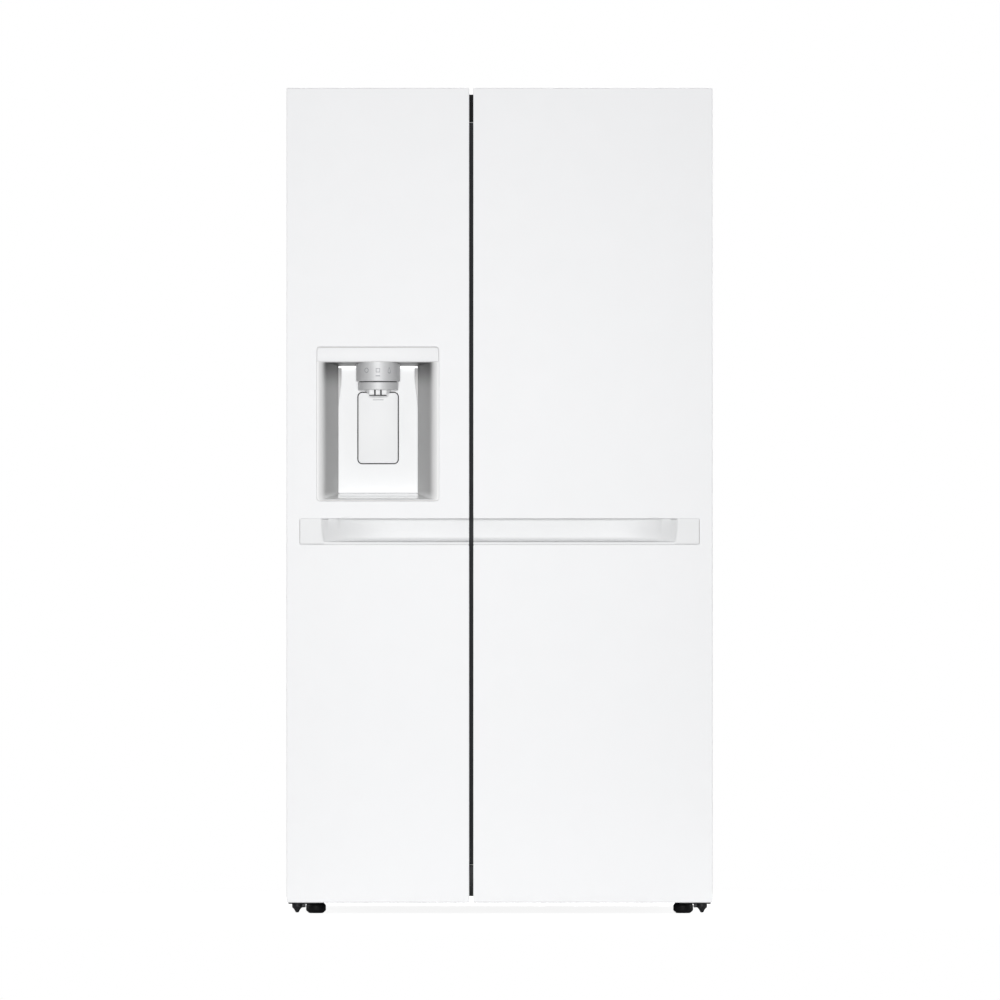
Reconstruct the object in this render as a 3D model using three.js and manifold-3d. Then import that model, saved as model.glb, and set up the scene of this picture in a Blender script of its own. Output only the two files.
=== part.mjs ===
// Side by side refrigerator: insulated cabinet, two hinged doors, shelves, drawers and cooling parts.
// Millimetres, +Z up. The doors face -Y, +X is to the right seen from the front.
// The origin is on the floor, under the middle of the outer box.

import * as THREE from "three";
import { mergeVertices } from "three/addons/utils/BufferGeometryUtils.js";
import Module from "manifold-3d";

const wasm = await Module();
wasm.setup();

// ---- Driving dimensions ----

const WIDTH = 913;
const DEPTH = 735;
const HEIGHT = 1770;
const CLEAR = 0.3;

const FRONT = -DEPTH / 2;
const REAR = DEPTH / 2;
const DOOR_THICK = 65;
const DOOR_REAR = FRONT + DOOR_THICK;
const SEAL_GAP = 12;
const CAB_FRONT = DOOR_REAR + SEAL_GAP;
const CAB_HALF = 455;
const CAB_BOTTOM = 37;
const CASE_TOP = 1699;
const COVER_TOP = 1758;
const DOOR_BOTTOM = 25;
const SKIN = 1.2;

// The gap between the doors, and the hinge axes near the outer sides
const GAP_MIDDLE = -60.7;
const DOOR_GAP = 8.8;
const HINGE_X = 434;
const HINGE_Y = DOOR_REAR - 25;
const PIN_R = 6;
const PIN_HOLE_R = 6.4;

// Compartments: walls, floor and ceiling of the food space
const CAVITY_SIDE = 411;
const PARTITION_LEFT = -85;
const PARTITION_RIGHT = -36;
const CAVITY_BOTTOM = 130;
const CAVITY_TOP = 1655;
const CAVITY_REAR = 315;
const LINER = 2;
const STEP_Y = 130;
const STEP_Z = 330;
const LINER_FRONT = CAB_FRONT + 1.8;

// Machine compartment at the bottom rear, and the base under everything
const MACHINE_FRONT = 190;
const MACHINE_TOP = 280;
const TRAY_TOP = 45;
const RAIL_FRONT = CAB_FRONT + 3.3;
const RAIL_REAR = -245;
const RAIL_TOP = 103.7;

// Drawers and shelves stand back from the cabinet's front so that the door bins fit
const DRAWER_FRONT = -170;
const SHELF_FRONT = -165;
const SHELF_REAR = 234;
const RAIL_ROOM = 27;

// Dispenser recess in the freezer door
const DISP_X = -260.7;
const DISP_HALF = 130.3;
const DISP_BACK_HALF = 85.5;
const DISP_BOTTOM = 886;
const DISP_TOP = 1215;
const HEADER_BOTTOM = 1184.6;
const DISP_FLOOR_BACK = 901;
const DISP_CEILING_BACK = 1176;
const DISP_BACK = FRONT + 62;
const SHELL = 2.5;

// Handle pocket in each door
const HANDLE_BOTTOM = 791.8;
const HANDLE_TOP = 847.9;
const HANDLE_OUTER = 428;
const POCKET_DEPTH = 30;

// ---- Finishes: colour, roughness, metalness ----

const FINISH = {
  white_steel: [0xf4f5f7, 0.25, 0],
  case_paint: [0x6b7076, 0.5, 0],
  black_plastic: [0x1b1b1d, 0.5, 0],
  white_plastic: [0xf0f1f2, 0.4, 0],
  gasket: [0x8d9094, 0.8, 0],
  foam: [0xe6d8a8, 0.95, 0],
  zinc: [0xa9adb2, 0.4, 1],
  silver: [0xc9ccd0, 0.2, 1],
  glass: [0xcfe3de, 0.05, 0],
  clear_plastic: [0xdfe8ee, 0.1, 0],
  dark_steel: [0x2c2e31, 0.5, 0.4],
  aluminium: [0xc4c8cc, 0.35, 1],
  rubber: [0x202022, 0.85, 0],
  lamp: [0xffffff, 0.2, 0],
};

const fridge = new THREE.Group();

// ---- Helpers: every shape is a closed solid made from a three.js geometry ----

function solid(geometry) {
  geometry.deleteAttribute("normal");
  geometry.deleteAttribute("uv");
  const merged = mergeVertices(geometry, 1e-4);
  const index = merged.index.array;
  return new wasm.Manifold(new wasm.Mesh({
    numProp: 3,
    vertProperties: Float32Array.from(merged.attributes.position.array),
    triVerts: Uint32Array.from(index),
  }));
}

function join(first, ...others) {
  return others.reduce((sum, piece) => sum.add(piece), first);
}

function cut(first, ...others) {
  return others.reduce((rest, piece) => rest.subtract(piece), first);
}

// Adds one named mesh; a finish is a key of FINISH
function add(name, shape, finish) {
  const mesh = shape.getMesh();
  const geometry = new THREE.BufferGeometry();
  geometry.setAttribute("position", new THREE.BufferAttribute(mesh.vertProperties, 3));
  geometry.setIndex(new THREE.BufferAttribute(mesh.triVerts, 1));
  const [color, roughness, metalness] = FINISH[finish];
  const material = new THREE.MeshStandardMaterial({ color, roughness, metalness });
  const node = new THREE.Mesh(geometry, material);
  node.name = name;
  fridge.add(node);
}

// A box from its low and high corners; the x limits may come in either order
function box(xa, xb, ya, yb, za, zb) {
  const geometry = new THREE.BoxGeometry(Math.abs(xb - xa), yb - ya, zb - za);
  geometry.translate((xa + xb) / 2, (ya + yb) / 2, (za + zb) / 2);
  return solid(geometry);
}

// A box with its four upright edges rounded
function roundedBlock(xa, xb, ya, yb, za, zb, radius) {
  const [x0, x1] = [Math.min(xa, xb), Math.max(xa, xb)];
  const shape = roundedShape(x0, x1, ya, yb, radius);
  const geometry = new THREE.ExtrudeGeometry(shape, extrusion(zb - za));
  geometry.translate(0, 0, za);
  return solid(geometry);
}

function roundedShape(x0, x1, y0, y1, radius) {
  const shape = new THREE.Shape();
  shape.moveTo(x0 + radius, y0);
  shape.lineTo(x1 - radius, y0);
  shape.absarc(x1 - radius, y0 + radius, radius, -Math.PI / 2, 0);
  shape.lineTo(x1, y1 - radius);
  shape.absarc(x1 - radius, y1 - radius, radius, 0, Math.PI / 2);
  shape.lineTo(x0 + radius, y1);
  shape.absarc(x0 + radius, y1 - radius, radius, Math.PI / 2, Math.PI);
  shape.lineTo(x0, y0 + radius);
  shape.absarc(x0 + radius, y0 + radius, radius, Math.PI, Math.PI * 1.5);
  return shape;
}

function extrusion(depth) {
  return { depth, bevelEnabled: false, steps: 1, curveSegments: 4 };
}

// A prism whose outline is given in (y, z), running along x from xa to xb
function prismX(points, xa, xb) {
  const shape = new THREE.Shape(points.map(([y, z]) => new THREE.Vector2(y, z)));
  const geometry = new THREE.ExtrudeGeometry(shape, extrusion(Math.abs(xb - xa)));
  geometry.rotateX(Math.PI / 2);
  geometry.rotateZ(Math.PI / 2);
  geometry.translate(Math.min(xa, xb), 0, 0);
  return solid(geometry);
}

// A prism whose outline is given in (x, y), running along z from za to zb
function prismZ(points, za, zb) {
  const shape = new THREE.Shape(points.map(([x, y]) => new THREE.Vector2(x, y)));
  const geometry = new THREE.ExtrudeGeometry(shape, extrusion(zb - za));
  geometry.translate(0, 0, za);
  return solid(geometry);
}

// A prism of a rounded rectangle in (x, z), running along y from ya to yb
function plateY(xa, xb, za, zb, radius, ya, yb) {
  const geometry = new THREE.ExtrudeGeometry(roundedShape(xa, xb, za, zb, radius), extrusion(yb - ya));
  geometry.rotateX(Math.PI / 2);
  geometry.translate(0, yb, 0);
  return solid(geometry);
}

// A round rod from its centre point at one end; it runs the given length along +X, +Y or +Z
function rod(axis, x, y, z, radius, length, segments = 24, endRadius = radius) {
  const geometry = new THREE.CylinderGeometry(endRadius, radius, length, segments);
  geometry.translate(0, length / 2, 0);
  if (axis === "x") {
    geometry.rotateZ(-Math.PI / 2);
  }
  if (axis === "z") {
    geometry.rotateX(Math.PI / 2);
  }
  geometry.translate(x, y, z);
  return solid(geometry);
}

// A turned solid about an upright axis; the profile is (radius, height) from axis to axis
function turned(profile, x, y, segments = 32) {
  const points = profile.map(([r, h]) => new THREE.Vector2(r, h));
  const geometry = new THREE.LatheGeometry(points, segments);
  geometry.rotateX(Math.PI / 2);
  geometry.translate(x, y, 0);
  return solid(geometry);
}

// ---- Cabinet ----

function outerCase() {
  const outer = box(-CAB_HALF, CAB_HALF, CAB_FRONT, REAR, CAB_BOTTOM, CASE_TOP);
  const inner = box(SKIN - CAB_HALF, CAB_HALF - SKIN, CAB_FRONT + SKIN, REAR + 1,
    CAB_BOTTOM - 1, CASE_TOP - SKIN);
  const window = box(-CAVITY_SIDE, CAVITY_SIDE, CAB_FRONT - 1, CAB_FRONT + 2, CAVITY_BOTTOM, CAVITY_TOP);
  const baseOpening = box(SKIN - CAB_HALF, CAB_HALF - SKIN, CAB_FRONT - 1, CAB_FRONT + 2,
    CAB_BOTTOM - 1, RAIL_TOP + CLEAR);
  add("outer_case", cut(outer, inner, window, baseOpening), "case_paint");
}

function backPanel() {
  const half = CAB_HALF - SKIN - CLEAR;
  const sheet = box(-half, half, REAR - SKIN, REAR, MACHINE_TOP, CASE_TOP - SKIN - CLEAR);
  add("back_panel", sheet, "zinc");
}

// The food space of one side, grown on every side except the front by `grow`
function cavity(x0, x1, grow) {
  const upper = box(x0 - grow, x1 + grow, LINER_FRONT, CAVITY_REAR + grow, STEP_Z - grow, CAVITY_TOP + grow);
  const lower = box(x0 - grow, x1 + grow, LINER_FRONT, STEP_Y + grow,
    CAVITY_BOTTOM - grow, CAVITY_TOP + grow);
  return upper.add(lower);
}

function openFront(x0, x1) {
  return box(x0, x1, LINER_FRONT - 5, LINER_FRONT + 5, CAVITY_BOTTOM, CAVITY_TOP);
}

// A liner with a ledge on each side wall under every shelf height
function compartmentLiner(name, x0, x1, shelfHeights) {
  const shell = cut(cavity(x0, x1, LINER), cavity(x0, x1, 0), openFront(x0, x1));
  const ledges = shelfHeights.flatMap((z) => [x0 - 1, x1 - 9].map((x) => (
    box(x, x + 10, SHELF_FRONT + 10, SHELF_REAR - 10, z - 8, z - CLEAR))));
  add(name, join(shell, ...ledges), "white_plastic");
}

function foamBody() {
  const half = CAB_HALF - SKIN - CLEAR;
  const block = box(-half, half, LINER_FRONT, REAR - SKIN - CLEAR, TRAY_TOP + CLEAR, CASE_TOP - SKIN - CLEAR);
  const grow = LINER + CLEAR;
  const freezer = cavity(-CAVITY_SIDE, PARTITION_LEFT, grow);
  const fresh = cavity(PARTITION_RIGHT, CAVITY_SIDE, grow);
  const front = [[-CAVITY_SIDE, PARTITION_LEFT], [PARTITION_RIGHT, CAVITY_SIDE]].map(([x0, x1]) => (
    box(x0 - grow, x1 + grow, LINER_FRONT - 5, LINER_FRONT + 5, CAVITY_BOTTOM - grow, CAVITY_TOP + grow)));
  const machineRoom = box(-half - 5, half + 5, MACHINE_FRONT, REAR + 5, 0, MACHINE_TOP);
  const railRoom = box(-half - 5, half + 5, LINER_FRONT - 5, RAIL_REAR + CLEAR, 0, RAIL_TOP + CLEAR);
  add("foam_body", cut(block, freezer, fresh, ...front, machineRoom, railRoom), "foam");
}

function mullionStrip() {
  const strip = box(PARTITION_LEFT, PARTITION_RIGHT, CAB_FRONT, CAB_FRONT + 1.5,
    CAVITY_BOTTOM + CLEAR, CAVITY_TOP - CLEAR);
  add("mullion_strip", strip, "dark_steel");
}

function topCover() {
  const rearY = CAB_FRONT + 112;
  const outer = box(-CAB_HALF, CAB_HALF, CAB_FRONT, rearY, CASE_TOP + CLEAR, COVER_TOP);
  const inner = box(3 - CAB_HALF, CAB_HALF - 3, CAB_FRONT + 3, rearY - 3, CASE_TOP - 1, COVER_TOP - 3);
  const slots = [-1, 1].map((side) => box(side * (HINGE_X - 17), side * (HINGE_X + 17),
    CAB_FRONT - 1, CAB_FRONT + 4, CASE_TOP + 42, CASE_TOP + 54));
  add("top_cover", cut(outer, inner, ...slots), "black_plastic");
}

// ---- Base, feet and rollers ----

const FOOT_X = 394.5;
const FOOT_Y = -265;
const FOOT_STEM_R = 5;
const ROLLER_R = 18;
const ROLLER_Y = 318;
const AXLE_R = 4;

function baseFrame() {
  const half = CAB_HALF - SKIN - CLEAR;
  const tray = box(-half, half, RAIL_FRONT, REAR - 4, CAB_BOTTOM, TRAY_TOP);
  const railFace = box(-half, half, RAIL_FRONT, RAIL_FRONT + 3, CAB_BOTTOM, RAIL_TOP);
  const railLip = box(-half, half, RAIL_FRONT, RAIL_REAR, RAIL_TOP - 3, RAIL_TOP);
  let frame = join(tray, railFace, railLip);
  for (const side of [-1, 1]) {
    const boss = rod("z", side * FOOT_X, FOOT_Y, TRAY_TOP - 1, 14, RAIL_TOP - TRAY_TOP, 24);
    const hole = rod("z", side * FOOT_X, FOOT_Y, 0, FOOT_STEM_R + 0.4, RAIL_TOP - 8, 24);
    const ears = [-16, 12].map((dx) => (
      box(side * FOOT_X + dx, side * FOOT_X + dx + 4, ROLLER_Y - 11, ROLLER_Y + 11, 9, TRAY_TOP - 1)));
    const axle = rod("x", side * FOOT_X - 14, ROLLER_Y, ROLLER_R, AXLE_R, 28, 24);
    frame = join(frame.add(boss).subtract(hole), ...ears, axle);
  }
  const post = box(FAN_X + 24, FAN_X + 30, FAN_Y - 10, FAN_Y + 10, TRAY_TOP - 1, FAN_Z + 12);
  const shaft = rod("x", FAN_X - 6, FAN_Y, FAN_Z, AXLE_R, 32, 24);
  add("base_frame", join(frame, post, shaft), "dark_steel");
}

function levelingFoot(name, side) {
  const profile = [[0, 0], [14.4, 0], [21.3, 6], [21.3, 16], [19.8, 19.8], [15.5, 21.5], [FOOT_STEM_R, 21.5],
    [FOOT_STEM_R, 88], [0, 88]];
  add(name, turned(profile, side * FOOT_X, FOOT_Y, 24), "black_plastic");
}

function rearRoller(name, side) {
  const x = side * FOOT_X - 10;
  const wheel = rod("x", x, ROLLER_Y, ROLLER_R, ROLLER_R, 20, 32);
  const bore = rod("x", x - 5, ROLLER_Y, ROLLER_R, AXLE_R + 0.3, 30, 24);
  add(name, wheel.subtract(bore), "rubber");
}

// ---- Hinges ----

const ARM_BOTTOM = CASE_TOP + 45;
const ARM_THICK = 5;
const ARM_HALF = 15;
const PIN_LENGTH = 20;
const PLATE_BOTTOM = 21.6;

function upperHinge(name, side) {
  const foot = [[-200, CASE_TOP + CLEAR], [-200, CASE_TOP + 5], [-262, CASE_TOP + 5],
    [-262, ARM_BOTTOM + ARM_THICK], [HINGE_Y, ARM_BOTTOM + ARM_THICK], [HINGE_Y, ARM_BOTTOM],
    [-267, ARM_BOTTOM], [-267, CASE_TOP + CLEAR]];
  const arm = prismX(foot.reverse(), side * HINGE_X - ARM_HALF, side * HINGE_X + ARM_HALF);
  const eye = rod("z", side * HINGE_X, HINGE_Y, ARM_BOTTOM, ARM_HALF, ARM_THICK, 32);
  const pin = rod("z", side * HINGE_X, HINGE_Y, ARM_BOTTOM - PIN_LENGTH, PIN_R, PIN_LENGTH + 1, 24);
  add(name, join(arm, eye, pin), "zinc");
}

function lowerHinge(name, side) {
  const [xIn, xOut] = [side * 385, side * 453];
  const plate = box(xIn, xOut, HINGE_Y - 14, CAB_FRONT + 3, PLATE_BOTTOM, PLATE_BOTTOM + 3);
  const riser = box(xIn, xOut, CAB_FRONT, CAB_FRONT + 3, PLATE_BOTTOM, 80);
  const pin = rod("z", side * HINGE_X, HINGE_Y, PLATE_BOTTOM, PIN_R, 22, 24);
  const nut = rod("z", side * HINGE_X, HINGE_Y, 14, 11, 8, 24);
  const tip = rod("z", side * HINGE_X, HINGE_Y, 3, 3.2, 11, 24, 11);
  const web = box(side * 424, side * 416, HINGE_Y - 11, HINGE_Y + 11, 14, PLATE_BOTTOM + 1);
  add(name, join(plate, riser, pin, nut, tip, web), "dark_steel");
}

// ---- Cooling parts ----

const FAN_X = 130;
const FAN_Y = 278;
const FAN_Z = 150;
const COLD_FAN_X = -248;
const COLD_FAN_Z = 1000;
const COVER_Y = 240;

function compressor() {
  const [x, y, r] = [320, FAN_Y, 76];
  const profile = [[0, 62], [r - 20, 62], [r, 78], [r, 118], [r + 4, 120], [r + 4, 126], [r, 128], [r, 178],
    [r - 12, 204], [r - 40, 218], [0, 222]];
  const shell = turned(profile, x, y, 24);
  const feet = box(x - 90, x + 90, y - 60, y + 60, TRAY_TOP + CLEAR, 51);
  const stem = rod("z", x, y, 50, 30, 20, 24);
  add("compressor", join(shell, feet, stem), "black_plastic");
}

// A block of tube passes with fins, as a comb of upright plates joined along the bottom
function finnedBlock(x0, x1, y0, y1, z0, z1, pitch) {
  const core = box(x0, x1, y0 + 12, y1 - 12, z0, z1);
  const count = Math.floor((x1 - x0) / pitch);
  const fins = Array.from({ length: count }, (_, i) => (
    box(x0 + i * pitch, x0 + i * pitch + 2, y0, y1, z0 + 4, z1 - 4)));
  return join(core, ...fins);
}

function condenser() {
  const coil = finnedBlock(-180, 60, 215, 335, TRAY_TOP + CLEAR, 240, 16);
  add("condenser", coil, "dark_steel");
}

// A hub with blades about the X axis, running along x from the origin
function fanWheel(length, hubR, bladeR, boreR, blades) {
  let wheel = rod("x", 0, 0, 0, hubR, length, 24);
  for (let i = 0; i < blades; i += 1) {
    const blade = new THREE.BoxGeometry(3, hubR * 1.1, bladeR - hubR + 4);
    blade.rotateZ(0.6);
    blade.translate(length / 2, 0, (bladeR + hubR) / 2 - 2);
    blade.rotateX((i * 2 * Math.PI) / blades);
    wheel = wheel.add(solid(blade));
  }
  return wheel.subtract(rod("x", -20, 0, 0, boreR, length + 40, 24));
}

function condenserFan() {
  const wheel = fanWheel(20, 20, 72, AXLE_R + 0.4, 7);
  add("condenser_fan", wheel.translate([FAN_X - 2, FAN_Y, FAN_Z]), "black_plastic");
}

function evaporatorFan() {
  const wheel = fanWheel(16, 18, 52, 3.4, 5).rotate([0, 0, 90]);
  add("evaporator_fan", wheel.translate([COLD_FAN_X, COVER_Y + 14, COLD_FAN_Z]), "black_plastic");
}

function evaporator() {
  const coil = finnedBlock(-380, -116, 256, 306, 420, 800, 22);
  add("evaporator", coil, "aluminium");
}

// The freezer's rear wall: air enters at the bottom slots and leaves through the round fan guard
function evaporatorCover() {
  const [x0, x1] = [CLEAR - CAVITY_SIDE, PARTITION_LEFT - CLEAR];
  const panel = box(x0, x1, COVER_Y, COVER_Y + 3, STEP_Z + 12, CAVITY_TOP - 15);
  const lips = [x0, x1 - 3].map((x) => box(x, x + 3, COVER_Y, COVER_Y + 40, STEP_Z + 12, CAVITY_TOP - 15));
  const intake = [-3, -2, -1, 0, 1, 2, 3].map((i) => box(COLD_FAN_X + i * 36 - 12, COLD_FAN_X + i * 36 + 12,
    COVER_Y - 5, COVER_Y + 8, STEP_Z + 25, STEP_Z + 40));
  const guard = [-40, -20, 20, 40].map((dz) => box(COLD_FAN_X - 36, COLD_FAN_X + 36, COVER_Y - 5, COVER_Y + 8,
    COLD_FAN_Z + dz - 5, COLD_FAN_Z + dz + 5));
  const boss = rod("y", COLD_FAN_X, COVER_Y + 2, COLD_FAN_Z, 16, 9, 24);
  const shaft = rod("y", COLD_FAN_X, COVER_Y + 2, COLD_FAN_Z, 3, 26, 24);
  add("evaporator_cover", join(cut(join(panel, ...lips), ...intake, ...guard), boss, shaft), "white_plastic");
}

function airDuct() {
  const [x0, x1, y0, y1] = [120, 255, 250, CAVITY_REAR - CLEAR];
  const outer = box(x0, x1, y0, y1, 620, 1610);
  const inner = box(x0 + 3, x1 - 3, y0 + 3, y1 + 5, 623, 1607);
  const vents = [700, 950, 1200, 1450].map((z) => box(x0 + 25, x1 - 25, y0 - 5, y0 + 8, z, z + 14));
  add("air_duct", cut(outer, inner, ...vents), "white_plastic");
}

function machineCover() {
  const half = CAB_HALF - SKIN - CLEAR;
  const sheet = box(-half, half, REAR - 2.5, REAR, TRAY_TOP + CLEAR, MACHINE_TOP - CLEAR);
  const slots = [];
  for (let column = 0; column < 8; column += 1) {
    for (const z of [110, 160, 210]) {
      const x = -380 + column * 100;
      slots.push(box(x, x + 60, REAR - 8, REAR + 5, z, z + 12));
    }
  }
  add("machine_cover", cut(sheet, ...slots), "dark_steel");
}

// ---- Shelves, drawers and ice ----

const FREEZER_X = [-CAVITY_SIDE, PARTITION_LEFT];
const FRESH_X = [PARTITION_RIGHT, CAVITY_SIDE];
const FREEZER_SHELF_Z = 580;
const ICE_SHELF_Z = 1290;
const CRISPER_COVER_Z = 570;
const FRIDGE_SHELVES = { fridge_shelf_lower: 880, fridge_shelf_upper: 1230 };

// A glass shelf with a white front trim that hooks under its edge
function shelf(name, [x0, x1], z, rearY) {
  const glass = box(x0 + 2, x1 - 2, SHELF_FRONT + 6, rearY, z, z + 5);
  const trim = box(x0 + 2, x1 - 2, SHELF_FRONT, SHELF_FRONT + 10, z - 6, z + 9);
  add(name, glass.add(trim), "glass");
}

// An open-topped drawer; the front is thicker and carries a finger lip
function drawer(name, x0, x1, rearY, z0, z1, finish) {
  const wall = 3;
  const tub = box(x0, x1, DRAWER_FRONT + 4, rearY, z0, z1 - 12);
  const face = box(x0, x1, DRAWER_FRONT, DRAWER_FRONT + 8, z0, z1);
  const hollow = box(x0 + wall, x1 - wall, DRAWER_FRONT + 8, rearY - wall, z0 + wall, z1 + 5);
  const grip = box(x0 + 60, x1 - 60, DRAWER_FRONT - 1, DRAWER_FRONT + 5, z1 - 40, z1 - 16);
  add(name, cut(tub.add(face), hollow, grip), finish);
}

function drawers() {
  const [f0, f1] = [FREEZER_X[0] + RAIL_ROOM, FREEZER_X[1] - RAIL_ROOM / 2];
  const [r0, r1] = [FRESH_X[0] + RAIL_ROOM / 2, FRESH_X[1] - RAIL_ROOM];
  drawer("freezer_drawer_lower", f0, f1, STEP_Y - 8, CAVITY_BOTTOM + 3, 325, "clear_plastic");
  drawer("freezer_drawer_upper", f0, f1, COVER_Y - 8, 345, 560, "clear_plastic");
  drawer("crisper_drawer_lower", r0, r1, STEP_Y - 8, CAVITY_BOTTOM + 3, 325, "clear_plastic");
  drawer("crisper_drawer_upper", r0, r1, COVER_Y - 8, 345, 555, "clear_plastic");
  drawer("ice_bin", f0, f1, COVER_Y - 8, ICE_SHELF_Z + 3, 1460, "clear_plastic");
}

// The slide rails under the upper drawers and the ice bin are ledges on the liners
const FREEZER_LEDGES = [344, FREEZER_SHELF_Z, ICE_SHELF_Z];
const FRIDGE_LEDGES = [344, CRISPER_COVER_Z, ...Object.values(FRIDGE_SHELVES)];

function iceMaker() {
  const body = box(-340, -130, -60, 200, 1500, 1590);
  const tray = box(-320, -150, -40, 180, 1530, 1600);
  const bracket = box(-300, -170, 199, COVER_Y - CLEAR, 1520, 1580);
  add("ice_maker", body.subtract(tray).add(bracket), "white_plastic");
}

// ---- Doors ----

// A door's outline and where its parts go; `outer` is the hinge side, `free` the side at the gap
function doorPlan(side) {
  const free = GAP_MIDDLE + (side * DOOR_GAP) / 2;
  const outer = (side * WIDTH) / 2;
  const cavityFree = side < 0 ? PARTITION_LEFT : PARTITION_RIGHT;
  return { side, free, outer, cavityFree, x0: Math.min(free, outer), x1: Math.max(free, outer) };
}

// Cuts the corner at the top of the hinge side where the hinge arm swings
function hingeNotch(plan) {
  return box(plan.side * (HINGE_X - 24), plan.outer + plan.side * 5, FRONT + 7, DOOR_REAR + 5,
    ARM_BOTTOM - 4, HEIGHT + 5);
}

function pinHole(plan, z0, z1) {
  return rod("z", plan.side * HINGE_X, HINGE_Y, z0, PIN_HOLE_R, z1 - z0, 24);
}

// The space the handle insert fills: the band in the door's face and the finger room above it
function handleSpace(plan, grow) {
  const rear = FRONT + POCKET_DEPTH + SHELL + grow;
  const band = box(plan.side * (HANDLE_OUTER + grow), plan.free - plan.side * 5, FRONT - 5, rear,
    HANDLE_BOTTOM - grow, HANDLE_TOP + grow);
  const behindFace = FRONT + SKIN + CLEAR + 0.05 - grow;
  const above = box(plan.side * (HANDLE_OUTER - 44 + grow), plan.free - plan.side * 5, behindFace,
    rear, HANDLE_TOP - 8, HANDLE_TOP + 16 + grow);
  return band.add(above);
}

function doorPanel(plan, holes) {
  const outer = box(plan.x0, plan.x1, FRONT, DOOR_REAR - 2, DOOR_BOTTOM, HEIGHT);
  const inner = box(plan.x0 + SKIN, plan.x1 - SKIN, FRONT + SKIN, DOOR_REAR + 5,
    DOOR_BOTTOM - 5, HEIGHT + 5);
  return cut(outer, inner, hingeNotch(plan), ...holes);
}

function doorCap(plan, z0, z1) {
  return box(plan.x0 + SKIN + CLEAR, plan.x1 - SKIN - CLEAR, FRONT + SKIN + CLEAR, DOOR_REAR, z0, z1);
}

const CAP_TOP_Z = HEIGHT - 50;
const CAP_BOTTOM_Z = DOOR_BOTTOM + 25;

// The raised frame on the back of the door that reaches into the compartment
function linerFrame(plan, inset, depth) {
  const outside = plan.side * (CAVITY_SIDE - 12 - inset);
  const nearGap = plan.cavityFree + plan.side * (14 + inset);
  const ring = box(outside, nearGap, DOOR_REAR - 3, DOOR_REAR + depth - inset,
    CAVITY_BOTTOM + 12 + inset, CAVITY_TOP - 12 - inset);
  const rail = 28 - inset;
  const recess = box(plan.side * (CAVITY_SIDE - 12 - rail), plan.cavityFree + plan.side * (14 + rail),
    DOOR_REAR - 5, DOOR_REAR + depth + 5, CAVITY_BOTTOM + 12 + rail, CAVITY_TOP - 12 - rail);
  return ring.subtract(recess);
}

// The bulge of the freezer door's liner behind the dispenser recess
function dispenserBulge(inset) {
  return box(-385 + inset, -125 - inset, DOOR_REAR - 3, DOOR_REAR + 47 - inset, 858 + inset, 1262 - inset);
}

function doorLiner(plan, bulge) {
  const sheet = box(plan.x0 + 2, plan.x1 - 2, DOOR_REAR - SHELL, DOOR_REAR,
    CAP_BOTTOM_Z + CLEAR, CAP_TOP_Z - CLEAR);
  let outer = join(sheet, linerFrame(plan, 0, 47));
  let inner = linerFrame(plan, SHELL, 47);
  if (bulge) {
    outer = outer.add(dispenserBulge(0));
    inner = inner.add(dispenserBulge(SHELL));
  }
  const below = box(plan.x0 - 5, plan.x1 + 5, DOOR_REAR - 10, DOOR_REAR - SHELL, 0, HEIGHT);
  return outer.subtract(below).subtract(inner);
}

function doorFoam(plan, bulge, holes) {
  const block = box(plan.x0 + SKIN + CLEAR, plan.x1 - SKIN - CLEAR, FRONT + SKIN + CLEAR,
    DOOR_REAR - SHELL - CLEAR, CAP_BOTTOM_Z + CLEAR, CAP_TOP_Z - CLEAR);
  let foam = block.add(linerFrame(plan, SHELL + CLEAR, 47));
  if (bulge) {
    foam = foam.add(dispenserBulge(SHELL + CLEAR));
  }
  return cut(foam, ...holes);
}

// A magnetic seal: a square ring between the door and the cabinet's front
function gasket(name, plan) {
  const width = 18;
  const [xOut, xFree] = [plan.side * (HINGE_X + 1), plan.free + plan.side * 2];
  const [z0, z1] = [CAVITY_BOTTOM - 22, CAVITY_TOP + 24];
  const ring = box(xOut, xFree, DOOR_REAR + CLEAR, CAB_FRONT - 0.4, z0, z1);
  const opening = box(xOut - plan.side * width, xFree + plan.side * width, DOOR_REAR - 5, CAB_FRONT + 5,
    z0 + width, z1 - width);
  add(name, ring.subtract(opening), "gasket");
}

// A bin that hooks between the liner's rails: floor, low front wall, sides and back
function doorBin(name, plan, z0, height) {
  const wall = 3;
  const [xOut, xFree] = [plan.side * 370, plan.cavityFree + plan.side * 44];
  const [ya, yb] = [DOOR_REAR + CLEAR, DOOR_REAR + 120];
  const outer = roundedBlock(xOut, xFree, ya, yb, z0, z0 + height, 12);
  const inner = roundedBlock(xOut - plan.side * wall, xFree + plan.side * wall, ya + wall, yb - wall,
    z0 + wall, z0 + height + 5, 9);
  add(name, outer.subtract(inner), "clear_plastic");
}

// The finger pocket: a channel that is open to the gap, hooked upwards behind the face,
// and closed at its outer end by a slope up to a flush plate
function handle(name, plan) {
  const body = cut(handleSpace(plan, 0), box(plan.x0 - 50, plan.x1 + 50, FRONT - 10, FRONT, 700, 900),
    box(plan.free + plan.side * CLEAR, plan.free - plan.side * 20, FRONT - 10, REAR, 700, 900));
  const back = FRONT + POCKET_DEPTH;
  const top = HANDLE_TOP + 13;
  const bottom = HANDLE_BOTTOM + 6;
  const groove = [[FRONT - 2, bottom], [back - 12, bottom], [back - 4, bottom + 3], [back, bottom + 10],
    [back, top - 6], [back - 6, top], [FRONT + 10, top], [FRONT + 4, top - 6], [FRONT + 4, HANDLE_TOP - 3],
    [FRONT - 2, HANDLE_TOP - 3]];
  const channel = prismX(groove, plan.side * (HANDLE_OUTER - 48), plan.free - plan.side * 5);
  const slope = prismZ(slopeOutline(plan.side), 700, 900);
  add(name, body.subtract(channel.subtract(slope)), "white_plastic");
}

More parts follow.
